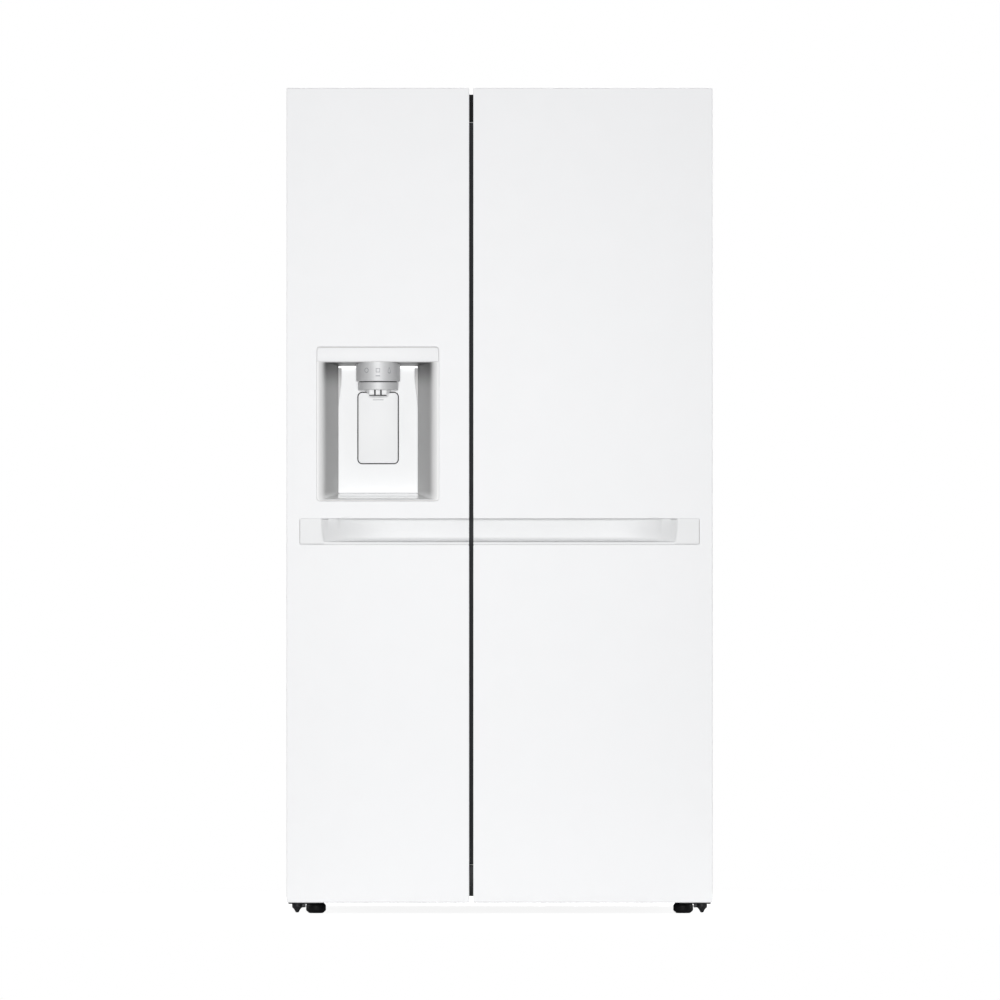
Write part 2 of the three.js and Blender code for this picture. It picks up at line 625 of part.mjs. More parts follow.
// Fills the pocket's outer end with a quarter-wave ramp from the full depth to the face
function slopeOutline(side) {
  const start = HANDLE_OUTER - 73;
  const points = [];
  for (let i = 0; i <= 8; i += 1) {
    const t = i / 8;
    const rise = (1 - Math.cos(Math.PI * t)) / 2;
    points.push([side * (start + 25 * t), FRONT + POCKET_DEPTH * (1 - rise) + 0.01]);
  }
  points.push([side * (start + 60), FRONT - 10]);
  points.push([side * (start + 60), FRONT + POCKET_DEPTH + 10]);
  points.push([side * start, FRONT + POCKET_DEPTH + 10]);
  return side > 0 ? points : points.reverse();
}

// ---- Dispenser ----

// A frustum that narrows from the door's face to the recess's back, grown by `grow`
function recess(grow) {
  const back = DISP_BACK + grow;
  const slope = (DISP_HALF - DISP_BACK_HALF) / (DISP_BACK - FRONT);
  const half = (y) => DISP_BACK_HALF + slope * (DISP_BACK - y) + grow - 1.2;
  const plan = prismZ([[DISP_X - half(FRONT - 5), FRONT - 5], [DISP_X + half(FRONT - 5), FRONT - 5],
    [DISP_X + half(back), back], [DISP_X - half(back), back]], 800, 1300);
  const side = prismX([[FRONT - 5, DISP_BOTTOM + 1.2 - grow], [back, DISP_FLOOR_BACK - grow],
    [back, DISP_CEILING_BACK + grow], [FRONT - 5, HEADER_BOTTOM + 0.7 + grow]], -500, 500);
  return plan.intersect(side);
}

const PADDLE_HALF = 42.85;
const PADDLE_BOTTOM = 966;
const PADDLE_TOP = 1118;
const PADDLE_THICK = 6;
const PADDLE_CORNER = 9;

function paddleRoom(grow, depth) {
  return plateY(DISP_X - PADDLE_HALF - grow, DISP_X + PADDLE_HALF + grow, PADDLE_BOTTOM - grow,
    PADDLE_TOP + grow, PADDLE_CORNER + grow, DISP_BACK - 2, DISP_BACK + depth);
}

function dispenserSpace(grow) {
  const rim = plateY(DISP_X - DISP_HALF - grow, DISP_X + DISP_HALF + grow, DISP_BOTTOM - grow, DISP_TOP + grow,
    6.5, FRONT - 5, FRONT + 12 + grow);
  return join(recess(SHELL + grow), rim, paddleRoom(SHELL + 1 + grow, 30 + grow));
}

function dispenserHousing() {
  const front = box(-500, 0, FRONT - 20, FRONT, 700, 1400);
  const headerRoom = box(DISP_X - DISP_HALF + 2, DISP_X + DISP_HALF - 2, FRONT - 5, FRONT + 6,
    HEADER_BOTTOM + 0.4, DISP_TOP - 1);
  const hollow = paddleRoom(0.8, 27);
  add("dispenser_housing", cut(dispenserSpace(0), front, recess(0), headerRoom, hollow), "white_plastic");
}

function dispenserHeader() {
  const face = box(DISP_X - DISP_HALF + 2.3, DISP_X + DISP_HALF - 2.3, FRONT, FRONT + 5.7,
    HEADER_BOTTOM + 1.9, DISP_TOP - 1.3);
  add("dispenser_header", face, "white_steel");
}

const COLLAR_Y = -318;
const COLLAR_R = 46.8;
const COLLAR_BOTTOM = 1141;
const LAMP_THICK = 5;

// Trims a round piece to the room in front of the light guide and below the recess's ceiling
function insideRecess(piece) {
  const behind = box(-500, 0, DISP_BACK - LAMP_THICK - CLEAR, REAR, 1000, 1300);
  return piece.intersect(recess(-CLEAR)).subtract(behind);
}

function dispenserCollar() {
  const ring = rod("z", DISP_X, COLLAR_Y, COLLAR_BOTTOM + 1, COLLAR_R, 60, 48);
  add("dispenser_collar", insideRecess(ring), "silver");
}

function dispenserSpout() {
  const lower = rod("z", DISP_X, COLLAR_Y, 1123.5, COLLAR_R - 4, COLLAR_BOTTOM - 1123.5 + 0.7, 48);
  const nozzle = rod("z", DISP_X, COLLAR_Y, 1111, 25, 14, 32, 27.5);
  const mouth = box(DISP_X - 16, DISP_X + 16, COLLAR_Y - 10, COLLAR_Y + 10, 1105, 1120);
  add("dispenser_spout", insideRecess(cut(lower.add(nozzle), mouth)), "silver");
}

function dispenserPaddle() {
  const plate = plateY(DISP_X - PADDLE_HALF, DISP_X + PADDLE_HALF, PADDLE_BOTTOM, PADDLE_TOP, PADDLE_CORNER,
    DISP_BACK, DISP_BACK + PADDLE_THICK);
  add("dispenser_paddle", plate, "white_plastic");
}

// A slotted tray that lies on the recess's sloped floor
function dripTray() {
  const floorZ = (y) => DISP_BOTTOM + 1.2
    + ((DISP_FLOOR_BACK - DISP_BOTTOM - 1.2) * (y - FRONT + 5)) / (DISP_BACK - FRONT + 5);
  const [ya, yb] = [FRONT + 12, DISP_BACK - 6];
  const plate = prismX([[ya, floorZ(ya) + CLEAR], [yb, floorZ(yb) + CLEAR], [yb, floorZ(yb) + 4],
    [ya, floorZ(ya) + 4]], DISP_X - 82, DISP_X + 82);
  const slots = [-3, -2, -1, 0, 1, 2, 3].map((i) => (
    box(DISP_X + i * 22 - 4, DISP_X + i * 22 + 4, ya + 8, yb - 8, 800, 950)));
  add("drip_tray", cut(plate, ...slots), "clear_plastic");
}

// A light guide along the top of the recess's back wall, passing behind the collar
function dispenserLamp() {
  const bar = box(DISP_X - 84, DISP_X + 84, DISP_BACK - LAMP_THICK, DISP_BACK - CLEAR, 1170.5, 1175);
  add("dispenser_lamp", bar, "lamp");
}

// ---- Assembly ----

function cabinet() {
  outerCase();
  backPanel();
  foamBody();
  compartmentLiner("freezer_liner", ...FREEZER_X, FREEZER_LEDGES);
  compartmentLiner("fridge_liner", ...FRESH_X, FRIDGE_LEDGES);
  mullionStrip();
  topCover();
  baseFrame();
  machineCover();
  for (const [word, side] of [["left", -1], ["right", 1]]) {
    upperHinge(`upper_hinge_${word}`, side);
    lowerHinge(`lower_hinge_${word}`, side);
    levelingFoot(`leveling_foot_${word}`, side);
    rearRoller(`rear_roller_${word}`, side);
  }
}

function coolingParts() {
  compressor();
  condenser();
  condenserFan();
  evaporator();
  evaporatorCover();
  evaporatorFan();
  airDuct();
  iceMaker();
}

function interior() {
  shelf("freezer_shelf", FREEZER_X, FREEZER_SHELF_Z, SHELF_REAR);
  shelf("crisper_cover", FRESH_X, CRISPER_COVER_Z, SHELF_REAR);
  for (const [name, z] of Object.entries(FRIDGE_SHELVES)) {
    shelf(name, FRESH_X, z, SHELF_REAR);
  }
  drawers();
}

function door(name, side) {
  const plan = doorPlan(side);
  const isFreezer = side < 0;
  const faceHoles = [handleSpace(plan, CLEAR)];
  const foamHoles = [handleSpace(plan, CLEAR)];
  if (isFreezer) {
    faceHoles.push(dispenserSpace(CLEAR));
    foamHoles.push(dispenserSpace(CLEAR));
  }
  add(`${name}_door_panel`, doorPanel(plan, faceHoles), "white_steel");
  add(`${name}_door_foam`, doorFoam(plan, isFreezer, foamHoles), "foam");
  add(`${name}_door_liner`, doorLiner(plan, isFreezer), "white_plastic");
  const top = cut(doorCap(plan, CAP_TOP_Z, HEIGHT), hingeNotch(plan), pinHole(plan, ARM_BOTTOM - PIN_LENGTH - 2, HEIGHT));
  add(`${name}_door_cap_top`, top, "white_plastic");
  const bottom = doorCap(plan, DOOR_BOTTOM, CAP_BOTTOM_Z).subtract(pinHole(plan, 0, DOOR_BOTTOM + 21));
  add(`${name}_door_cap_bottom`, bottom, "white_plastic");
  gasket(`${name}_gasket`, plan);
  handle(`${name}_handle`, plan);
  const bins = isFreezer ? [[260, 110], [1310, 110]] : [[260, 130], [700, 110], [1200, 110]];
  bins.forEach(([z, height], i) => doorBin(`${name}_door_bin_${i + 1}`, plan, z, height));
}

function dispenser() {
  dispenserHousing();
  dispenserHeader();
  dispenserCollar();
  dispenserSpout();
  dispenserPaddle();
  dripTray();
  dispenserLamp();
}

cabinet();
coolingParts();
interior();
door("freezer", -1);
door("fridge", 1);
dispenser();

export default fridge;
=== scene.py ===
"""Side by side refrigerator: finished surfaces, materials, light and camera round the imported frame.

Every new piece is a surface worked out with numpy: rings of points lofted into a skin, a profile
carried along a path, or a grid of two parameters. Lengths are metres, the doors face -Y and +Z is up.
"""

import math

import bmesh
import bpy
import numpy as np
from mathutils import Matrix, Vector
from mathutils.geometry import delaunay_2d_cdt


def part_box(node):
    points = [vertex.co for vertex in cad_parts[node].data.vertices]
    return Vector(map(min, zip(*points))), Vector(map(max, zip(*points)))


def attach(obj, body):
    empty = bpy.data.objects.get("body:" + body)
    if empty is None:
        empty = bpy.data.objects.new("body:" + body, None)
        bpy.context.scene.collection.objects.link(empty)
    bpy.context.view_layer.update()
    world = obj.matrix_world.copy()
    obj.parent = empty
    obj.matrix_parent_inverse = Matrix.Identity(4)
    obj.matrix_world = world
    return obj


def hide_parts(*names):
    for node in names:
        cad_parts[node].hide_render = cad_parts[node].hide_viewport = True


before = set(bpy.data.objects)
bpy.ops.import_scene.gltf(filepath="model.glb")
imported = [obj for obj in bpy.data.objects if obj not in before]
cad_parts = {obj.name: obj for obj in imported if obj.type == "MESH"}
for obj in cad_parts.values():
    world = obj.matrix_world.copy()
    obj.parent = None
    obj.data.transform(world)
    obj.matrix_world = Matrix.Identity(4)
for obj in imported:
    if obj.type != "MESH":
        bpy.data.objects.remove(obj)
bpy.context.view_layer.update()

MM = 0.001
TAU = 2 * math.pi


# ---------------------------------------------------------------- measures taken from the frame

def span(node):
    """The low and high corner of a node as two numpy arrays."""
    low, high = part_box(node)
    return np.array(low), np.array(high)


FREEZER_LOW, FREEZER_HIGH = span("freezer_door_panel")
FRIDGE_LOW, FRIDGE_HIGH = span("fridge_door_panel")
HANDLE_LOW, HANDLE_HIGH = span("fridge_handle")
CASE_LOW, CASE_HIGH = span("outer_case")
HOUSING_LOW, HOUSING_HIGH = span("dispenser_housing")
COLLAR_LOW, COLLAR_HIGH = span("dispenser_collar")
SPOUT_LOW, SPOUT_HIGH = span("dispenser_spout")
PADDLE_LOW, PADDLE_HIGH = span("dispenser_paddle")

FRONT_Y = FREEZER_LOW[1]
PANEL_REAR_Y = FREEZER_HIGH[1]
DOOR_BOTTOM = FREEZER_LOW[2]
DOOR_TOP = FREEZER_HIGH[2]
SLOT_LOW_Z = HANDLE_LOW[2]
SLOT_HIGH_Z = SLOT_LOW_Z + 56.1 * MM
SLOT_OUTER_X = HANDLE_HIGH[0]
POCKET_DEPTH = 30 * MM
DISPENSER_X = (PADDLE_LOW[0] + PADDLE_HIGH[0]) / 2
NOTCH_X = 410 * MM
CONDENSER_FAN = np.array((278, 150)) * MM
COLD_FAN = np.array((-248, 1000)) * MM
NOTCH_Z = CASE_HIGH[2] + 41 * MM


# ---------------------------------------------------------------- mesh building

class Skin:
    """Gathers patches of points and faces, then makes them one welded mesh object."""

    def __init__(self):
        self.points, self.faces, self.mats, self.count = [], [], [], 0

    def patch(self, points, faces, material=0):
        """Adds points and the faces between them."""
        points = np.asarray(points, float).reshape(-1, 3)
        self.points.append(points)
        self.faces += [[i + self.count for i in face] for face in faces]
        self.mats += [material] * len(faces)
        self.count += len(points)

    def loft(self, rings, closed=True, cap_first=False, cap_last=False, material=0):
        """Joins rings of equal length with quads; a cap closes the first or last ring with one face."""
        rings = np.asarray(rings, float)
        rows, columns = rings.shape[:2]
        faces = grid_faces(rows, columns, closed)
        if cap_first:
            faces.append(list(range(columns))[::-1])
        if cap_last:
            start = (rows - 1) * columns
            faces.append(list(range(start, start + columns)))
        self.patch(rings, faces, material)

    def flat(self, outline, holes, plane, toward, material=0):
        """Fills a flat outline with holes. The plane function lifts (u, v) to 3-D points."""
        loops = [np.asarray(outline, float)] + [np.asarray(hole, float) for hole in holes]
        edges, start = [], 0
        for loop in loops:
            ids = np.arange(len(loop)) + start
            edges += np.stack([ids, np.roll(ids, -1)], 1).tolist()
            start += len(loop)
        flat_points = [Vector(p) for p in np.concatenate(loops)]
        found = delaunay_2d_cdt(flat_points, edges, [], 2 if not holes else 0, 1e-7)
        corners = np.array([tuple(p) for p in found[0]])
        faces = [f for f in found[2] if inside(corners[list(f)].mean(0), loops)]
        lifted = plane(corners)
        normal = sum(np.cross(lifted[f[i]] - lifted[f[0]], lifted[f[i + 1]] - lifted[f[0]])
                     for f in faces for i in range(1, len(f) - 1))
        if normal @ np.asarray(toward, float) < 0:
            faces = [list(f)[::-1] for f in faces]
        self.patch(lifted, [list(f) for f in faces], material)

    def build(self, name, materials, weld=1e-6, sharp=35, outward=True):
        """The finished mesh object, with doubles merged, edges over `sharp` degrees kept crisp."""
        mesh = bpy.data.meshes.new(name)
        mesh.from_pydata(np.concatenate(self.points).tolist(), [], self.faces)
        mesh.polygons.foreach_set("material_index", np.array(self.mats, np.int32))
        work = bmesh.new()
        work.from_mesh(mesh)
        bmesh.ops.remove_doubles(work, verts=work.verts, dist=weld)
        bmesh.ops.dissolve_degenerate(work, edges=work.edges, dist=weld)
        if outward:
            bmesh.ops.recalc_face_normals(work, faces=work.faces)
        work.to_mesh(mesh)
        work.free()
        mesh.shade_smooth()
        mesh.set_sharp_from_angle(angle=math.radians(sharp))
        for material in materials:
            mesh.materials.append(material)
        piece = bpy.data.objects.new(name, mesh)
        bpy.context.scene.collection.objects.link(piece)
        return piece


def grid_faces(rows, columns, closed):
    """Quads of a grid of rows by columns, wrapping round along the columns when it is closed."""
    across = columns if closed else columns - 1
    row, column = np.meshgrid(np.arange(rows - 1), np.arange(across), indexing="ij")
    right = (column + 1) % columns
    quads = np.stack([row * columns + column, row * columns + right,
                      (row + 1) * columns + right, (row + 1) * columns + column], -1)
    return quads.reshape(-1, 4).tolist()


def inside(point, loops):
    """True if the point is inside an odd number of the loops, by counting edge crossings."""
    crossings = 0
    for loop in loops:
        a, b = loop, np.roll(loop, -1, axis=0)
        straddles = (a[:, 1] > point[1]) != (b[:, 1] > point[1])
        with np.errstate(divide="ignore", invalid="ignore"):
            x = a[:, 0] + (point[1] - a[:, 1]) * (b[:, 0] - a[:, 0]) / (b[:, 1] - a[:, 1])
        crossings += int(np.count_nonzero(straddles & (x > point[0])))
    return crossings % 2 == 1


def rounded_outline(corners, radii, inset=0.0, steps=6):
    """A closed outline of straight sides with an arc at each corner.

    The corners run anticlockwise. Each side moves inwards by `inset`, one number or one for each side
    in turn. A corner's arc is the quarter turn that touches both moved sides. Its reach shrinks at a
    corner that points outwards and grows at one that points inwards, so insets stay parallel.
    """
    corners = np.asarray(corners, float)
    before = corners - np.roll(corners, 1, axis=0)
    after = np.roll(corners, -1, axis=0) - corners
    before /= np.linalg.norm(before, axis=1)[:, None]
    after /= np.linalg.norm(after, axis=1)[:, None]
    leaving = np.broadcast_to(np.asarray(inset, float), len(corners))[:, None]
    arriving = np.roll(leaving, 1, axis=0)
    turned = lambda side: np.stack([-side[:, 1], side[:, 0]], 1)
    shift = (arriving * turned(before) + leaving * turned(after)) / (1 + (before * after).sum(1)[:, None])
    turn = np.sign(before[:, 0] * after[:, 1] - before[:, 1] * after[:, 0])[:, None]
    radius = np.broadcast_to(radii, len(corners))[:, None]
    first = np.maximum(radius - turn * leaving, 1e-6) * before
    second = np.maximum(radius - turn * arriving, 1e-6) * after
    t = np.linspace(0, math.pi / 2, steps + 1)[None, :, None]
    start = corners + shift - first
    arcs = start[:, None] + first[:, None] * np.sin(t) + second[:, None] * (1 - np.cos(t))
    return arcs.reshape(-1, 2)


def round_corners(values, steps=6):
    """Carries one value for each side round the corners' arcs of an outline."""
    values = np.asarray(values, float)
    mix = np.linspace(0, 1, steps + 1)
    return (np.roll(values, 1)[:, None] * (1 - mix) + values[:, None] * mix).ravel()


def rectangle(low, high, radius, inset=0.0, steps=6):
    """A rounded rectangle's outline between two opposite corners."""
    (x0, y0), (x1, y1) = low, high
    return rounded_outline([(x0, y0), (x1, y0), (x1, y1), (x0, y1)], radius, inset, steps)


def lifted(outline, height, axis):
    """Puts a flat outline at a height along an axis: 0 is X, 1 is Y and 2 is Z."""
    outline = np.asarray(outline, float)
    return np.insert(outline, axis, height, axis=1)


def quarter(steps):
    """Sine and cosine pairs over a quarter turn."""
    t = np.linspace(0, math.pi / 2, steps + 1)
    return list(zip(np.sin(t), np.cos(t)))


def soft_box(skin, low, high, edge, corner=None, axis=2, steps=4, material=0):
    """A box with every edge rounded: rounded rectangles stacked along an axis, whose inset follows
    a quarter circle at each end."""
    low, high = np.minimum(low, high), np.maximum(low, high)
    across = [i for i in range(3) if i != axis]
    flat_low, flat_high = low[across], high[across]
    corner = max(corner or edge, edge * 1.01)
    rings = []
    for s, c in quarter(steps):
        rings.append(lifted(rectangle(flat_low, flat_high, corner, edge * (1 - s)),
                            low[axis] + edge * (1 - c), axis))
    rings += [lifted(rectangle(flat_low, flat_high, corner, edge * (1 - c)),
                     high[axis] - edge * (1 - s), axis) for s, c in quarter(steps)]
    skin.loft(rings, cap_first=True, cap_last=True, material=material)


def lathe(skin, profile, centre, axis=2, segments=48, material=0):
    """Turns a profile of (radius, height) pairs about an axis through the centre."""
    profile = np.asarray(profile, float)
    angle = np.arange(segments) * TAU / segments
    ring = np.stack([np.cos(angle), np.sin(angle)], 1)
    rings = [np.insert(ring * max(r, 0), axis, h, axis=1) for r, h in profile]
    skin.loft(np.array(rings) + np.asarray(centre, float), material=material,
              cap_first=profile[0][0] > 1e-6, cap_last=profile[-1][0] > 1e-6)


def arc(centre, radius, start, end, steps=6):
    """Points on a circle between two angles in degrees."""
    t = np.radians(np.linspace(start, end, steps + 1))
    return [(centre[0] + radius * math.cos(a), centre[1] + radius * math.sin(a)) for a in t]


def add_modifier(piece, kind, **values):
    """Adds a modifier of the given kind with its settings."""
    modifier = piece.modifiers.new(kind.title(), kind)
    for key, value in values.items():
        setattr(modifier, key, value)
    return modifier


def solidify(piece, thickness, offset=-1.0):
    """Gives a sheet its thickness; offset -1 grows it behind its outward side."""
    return add_modifier(piece, "SOLIDIFY", thickness=thickness, offset=offset, use_even_offset=True)


def place(piece, body, slot, *nodes):
    """Puts a finished piece on its body, in place of the nodes it stands for."""
    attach(piece, body)
    if nodes:
        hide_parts(*nodes)
    return piece


# ---------------------------------------------------------------- materials

def socket(group, name, kind, direction="INPUT", default=None):
    """Adds one named input or output to a node group."""
    made = group.interface.new_socket(name=name, in_out=direction, socket_type=kind)
    if default is not None:
        made.default_value = default
    return made


def new_group(name):
    """An empty node group with its input and output nodes."""
    group = bpy.data.node_groups.new(name, "ShaderNodeTree")
    return group, group.nodes.new("NodeGroupInput"), group.nodes.new("NodeGroupOutput")


def math_node(group, operation, first, second):
    """The result of one sum on two numbers or sockets."""
    node = group.nodes.new("ShaderNodeMath")
    node.operation = operation
    for value, entry in zip((first, second), node.inputs):
        if isinstance(value, (int, float)):
            entry.default_value = value
        else:
            group.links.new(value, entry)
    return node.outputs[0]


def noise_node(group, scale, detail=2.0, stretch=(1, 1, 1)):
    """Noise on the piece's own object coordinates, stretched along an axis if asked."""
    place_node = group.nodes.new("ShaderNodeTexCoord")
    mapping = group.nodes.new("ShaderNodeMapping")
    mapping.inputs["Scale"].default_value = stretch
    noise = group.nodes.new("ShaderNodeTexNoise")
    noise.inputs["Detail"].default_value = detail
    group.links.new(place_node.outputs["Object"], mapping.inputs["Vector"])
    group.links.new(mapping.outputs["Vector"], noise.inputs["Vector"])
    if isinstance(scale, (int, float)):
        noise.inputs["Scale"].default_value = scale
    else:
        group.links.new(scale, noise.inputs["Scale"])
    return noise.outputs["Fac"]


def surface_group():
    """Slow cloudiness in the colour, fine variation in the gloss, and a fine relief.

    The colour is Base times (1 + Cloud * (noise - 0.5)); the roughness is Gloss plus Vary times a
    finer noise; Relief is a grain to feed a bump.
    """
    group, entry, out = new_group("surface_variation")
    socket(group, "Base", "NodeSocketColor", default=(0.8, 0.8, 0.8, 1))
    socket(group, "Cloud", "NodeSocketFloat", default=0.03)
    socket(group, "Gloss", "NodeSocketFloat", default=0.3)
    socket(group, "Vary", "NodeSocketFloat", default=0.05)
    socket(group, "Grain Scale", "NodeSocketFloat", default=400.0)
    socket(group, "Color", "NodeSocketColor", "OUTPUT")
    socket(group, "Roughness", "NodeSocketFloat", "OUTPUT")
    socket(group, "Relief", "NodeSocketFloat", "OUTPUT")
    cloud = math_node(group, "SUBTRACT", noise_node(group, 3.0), 0.5)
    shade = math_node(group, "ADD", math_node(group, "MULTIPLY", cloud, entry.outputs["Cloud"]), 1.0)
    tint = group.nodes.new("ShaderNodeVectorMath")
    tint.operation = "SCALE"
    group.links.new(entry.outputs["Base"], tint.inputs[0])
    group.links.new(shade, tint.inputs["Scale"])
    group.links.new(tint.outputs[0], out.inputs["Color"])
    fine = math_node(group, "SUBTRACT", noise_node(group, 24.0, 4.0), 0.5)
    gloss = math_node(group, "ADD", math_node(group, "MULTIPLY", fine, entry.outputs["Vary"]),
                      entry.outputs["Gloss"])
    group.links.new(gloss, out.inputs["Roughness"])
    group.links.new(noise_node(group, entry.outputs["Grain Scale"], 3.0), out.inputs["Relief"])
    return group


def brushed_group():
    """Fine lines along one axis: noise stretched along Z, as colour, gloss and relief."""
    group, entry, out = new_group("brushed_lines")
    socket(group, "Base", "NodeSocketColor", default=(0.6, 0.6, 0.6, 1))
    socket(group, "Gloss", "NodeSocketFloat", default=0.3)
    socket(group, "Depth", "NodeSocketFloat", default=0.1)
    socket(group, "Color", "NodeSocketColor", "OUTPUT")
    socket(group, "Roughness", "NodeSocketFloat", "OUTPUT")
    socket(group, "Relief", "NodeSocketFloat", "OUTPUT")
    lines = noise_node(group, 60.0, 4.0, stretch=(1, 1, 24))
    spread = math_node(group, "MULTIPLY", math_node(group, "SUBTRACT", lines, 0.5), entry.outputs["Depth"])
    tint = group.nodes.new("ShaderNodeVectorMath")
    tint.operation = "SCALE"
    group.links.new(entry.outputs["Base"], tint.inputs[0])
    group.links.new(math_node(group, "ADD", spread, 1.0), tint.inputs["Scale"])
    group.links.new(tint.outputs[0], out.inputs["Color"])
    group.links.new(math_node(group, "ADD", spread, entry.outputs["Gloss"]), out.inputs["Roughness"])
    group.links.new(lines, out.inputs["Relief"])
    return group


SURFACE = surface_group()
BRUSHED = brushed_group()


def finish(name, color, gloss, metallic=0.0, cloud=0.03, vary=0.05, grain=400.0, relief=0.0,
           coat=0.0, transmission=0.0, group=None, ior=1.5, emission=0.0, specular=0.5):
    """A material whose colour, gloss and relief come from one of the shared groups."""
    material = bpy.data.materials.new(name)
    material.use_nodes = True
    tree = material.node_tree
    shader = tree.nodes["Principled BSDF"]
    effect = tree.nodes.new("ShaderNodeGroup")
    effect.node_tree = group or SURFACE
    effect.inputs["Base"].default_value = (*color, 1)
    effect.inputs["Gloss"].default_value = gloss
    if effect.node_tree == SURFACE:
        effect.inputs["Cloud"].default_value = cloud
        effect.inputs["Vary"].default_value = vary
        effect.inputs["Grain Scale"].default_value = grain
    else:
        effect.inputs["Depth"].default_value = vary
    tree.links.new(effect.outputs["Color"], shader.inputs["Base Color"])
    tree.links.new(effect.outputs["Roughness"], shader.inputs["Roughness"])
    shader.inputs["Metallic"].default_value = metallic
    shader.inputs["Coat Weight"].default_value = coat
    shader.inputs["Coat Roughness"].default_value = 0.06
    shader.inputs["Transmission Weight"].default_value = transmission
    shader.inputs["IOR"].default_value = ior
    shader.inputs["Specular IOR Level"].default_value = specular
    if relief:
        bump = tree.nodes.new("ShaderNodeBump")
        bump.inputs["Strength"].default_value = relief
        bump.inputs["Distance"].default_value = 0.0004
        tree.links.new(effect.outputs["Relief"], bump.inputs["Height"])
        tree.links.new(bump.outputs["Normal"], shader.inputs["Normal"])
    if emission:
        tree.links.new(effect.outputs["Color"], shader.inputs["Emission Color"])
        shader.inputs["Emission Strength"].default_value = emission
    return material


WHITE_ENAMEL = finish("white_enamel", (0.88, 0.883, 0.892), 0.4, cloud=0.012, vary=0.04,
                      grain=900, relief=0.03, specular=0.25)
CASE_PAINT = finish("textured_case_paint", (0.78, 0.785, 0.79), 0.42, cloud=0.02, grain=700, relief=0.25)
WHITE_MOULDING = finish("white_moulding", (0.79, 0.795, 0.8), 0.4, cloud=0.015, grain=1200, relief=0.05,
                        specular=0.3)
# painted light: a faint glow standing in for the dispenser lamp's light on the back plate and paddle
MOULDING_PAINTED_GLOW = finish("moulding_painted_lamp_glow", (0.8, 0.805, 0.81), 0.4, cloud=0.01, grain=1200, relief=0.04,
                      emission=0.01, specular=0.3)
# painted light: the tray glows, standing in for the dispenser lamp's light falling on it
TRAY_PAINTED_GLOW = finish("tray_painted_lamp_glow", (0.88, 0.885, 0.89), 0.4, cloud=0.01, grain=1200, relief=0.04, emission=0.3)
INNER_LINER = finish("inner_liner", (0.83, 0.84, 0.85), 0.3, cloud=0.015, grain=600, relief=0.05)
BLACK_MOULDING = finish("black_moulding", (0.008, 0.008, 0.009), 0.5, cloud=0.2, grain=900, relief=0.3,
                        specular=0.12)
DARK_PAINT = finish("dark_paint", (0.014, 0.0145, 0.016), 0.45, cloud=0.2, grain=500, relief=0.2,
                    specular=0.25)
# partly the mullion's own dark paint, partly painted shade: made very dark so the door gap reads as shaded
MULLION_PAINT_AND_GAP_SHADE = finish("mullion_paint_and_gap_shade", (0.045, 0.046, 0.05), 0.5, cloud=0.1, grain=500, relief=0.1,
                       specular=0.1)
SEAL_RUBBER = finish("seal_rubber", (0.42, 0.43, 0.44), 0.65, cloud=0.06, grain=900, relief=0.2)
BLACK_RUBBER = finish("black_rubber", (0.025, 0.025, 0.026), 0.7, cloud=0.2, grain=600, relief=0.3)
ZINC_COAT = finish("zinc_coat", (0.6, 0.615, 0.63), 0.42, 0.9, cloud=0.06, vary=0.12, grain=60, relief=0.1)
SATIN_SILVER = finish("satin_silver", (0.68, 0.682, 0.69), 0.6, 0.3, vary=0.12, group=BRUSHED)
COIL_ALUMINIUM = finish("coil_aluminium", (0.7, 0.71, 0.73), 0.35, 1.0, cloud=0.1, vary=0.1)
CLEAR_PLASTIC = finish("clear_plastic", (0.96, 0.98, 0.99), 0.1, cloud=0.01, vary=0.03,
                       transmission=0.9, ior=1.3)
SHELF_GLASS = finish("shelf_glass", (0.86, 0.96, 0.93), 0.04, cloud=0.01, vary=0.02,
                     transmission=1.0, ior=1.45)
FOAM = finish("yellow_foam", (0.78, 0.66, 0.38), 0.85, cloud=0.2, grain=300, relief=0.4)
LAMP_WHITE = finish("lamp_white", (1.0, 1.0, 1.0), 0.3, cloud=0.01, emission=0.5)
ICON_GREY = finish("icon_grey", (0.35, 0.36, 0.38), 0.5, cloud=0.05)
# painted shade: near black standing in for the shade in grooves, slots and the well behind the paddle
GROOVE_PAINTED_SHADE = finish("groove_painted_shade", (0.03, 0.03, 0.033), 0.6, cloud=0.1, specular=0.2)


def coordinate_ramp(tree, axis, start, end):
    """0 before `start` and 1 past `end` along one of the piece's own axes, smooth in between."""
    here = tree.nodes.new("ShaderNodeTexCoord")
    split = tree.nodes.new("ShaderNodeSeparateXYZ")
    ramp = tree.nodes.new("ShaderNodeMapRange")
    ramp.interpolation_type = "SMOOTHSTEP"
    ramp.inputs["From Min"].default_value = start
    ramp.inputs["From Max"].default_value = end
    tree.links.new(here.outputs["Object"], split.inputs[0])
    tree.links.new(split.outputs[axis], ramp.inputs["Value"])
    return ramp.outputs[0]


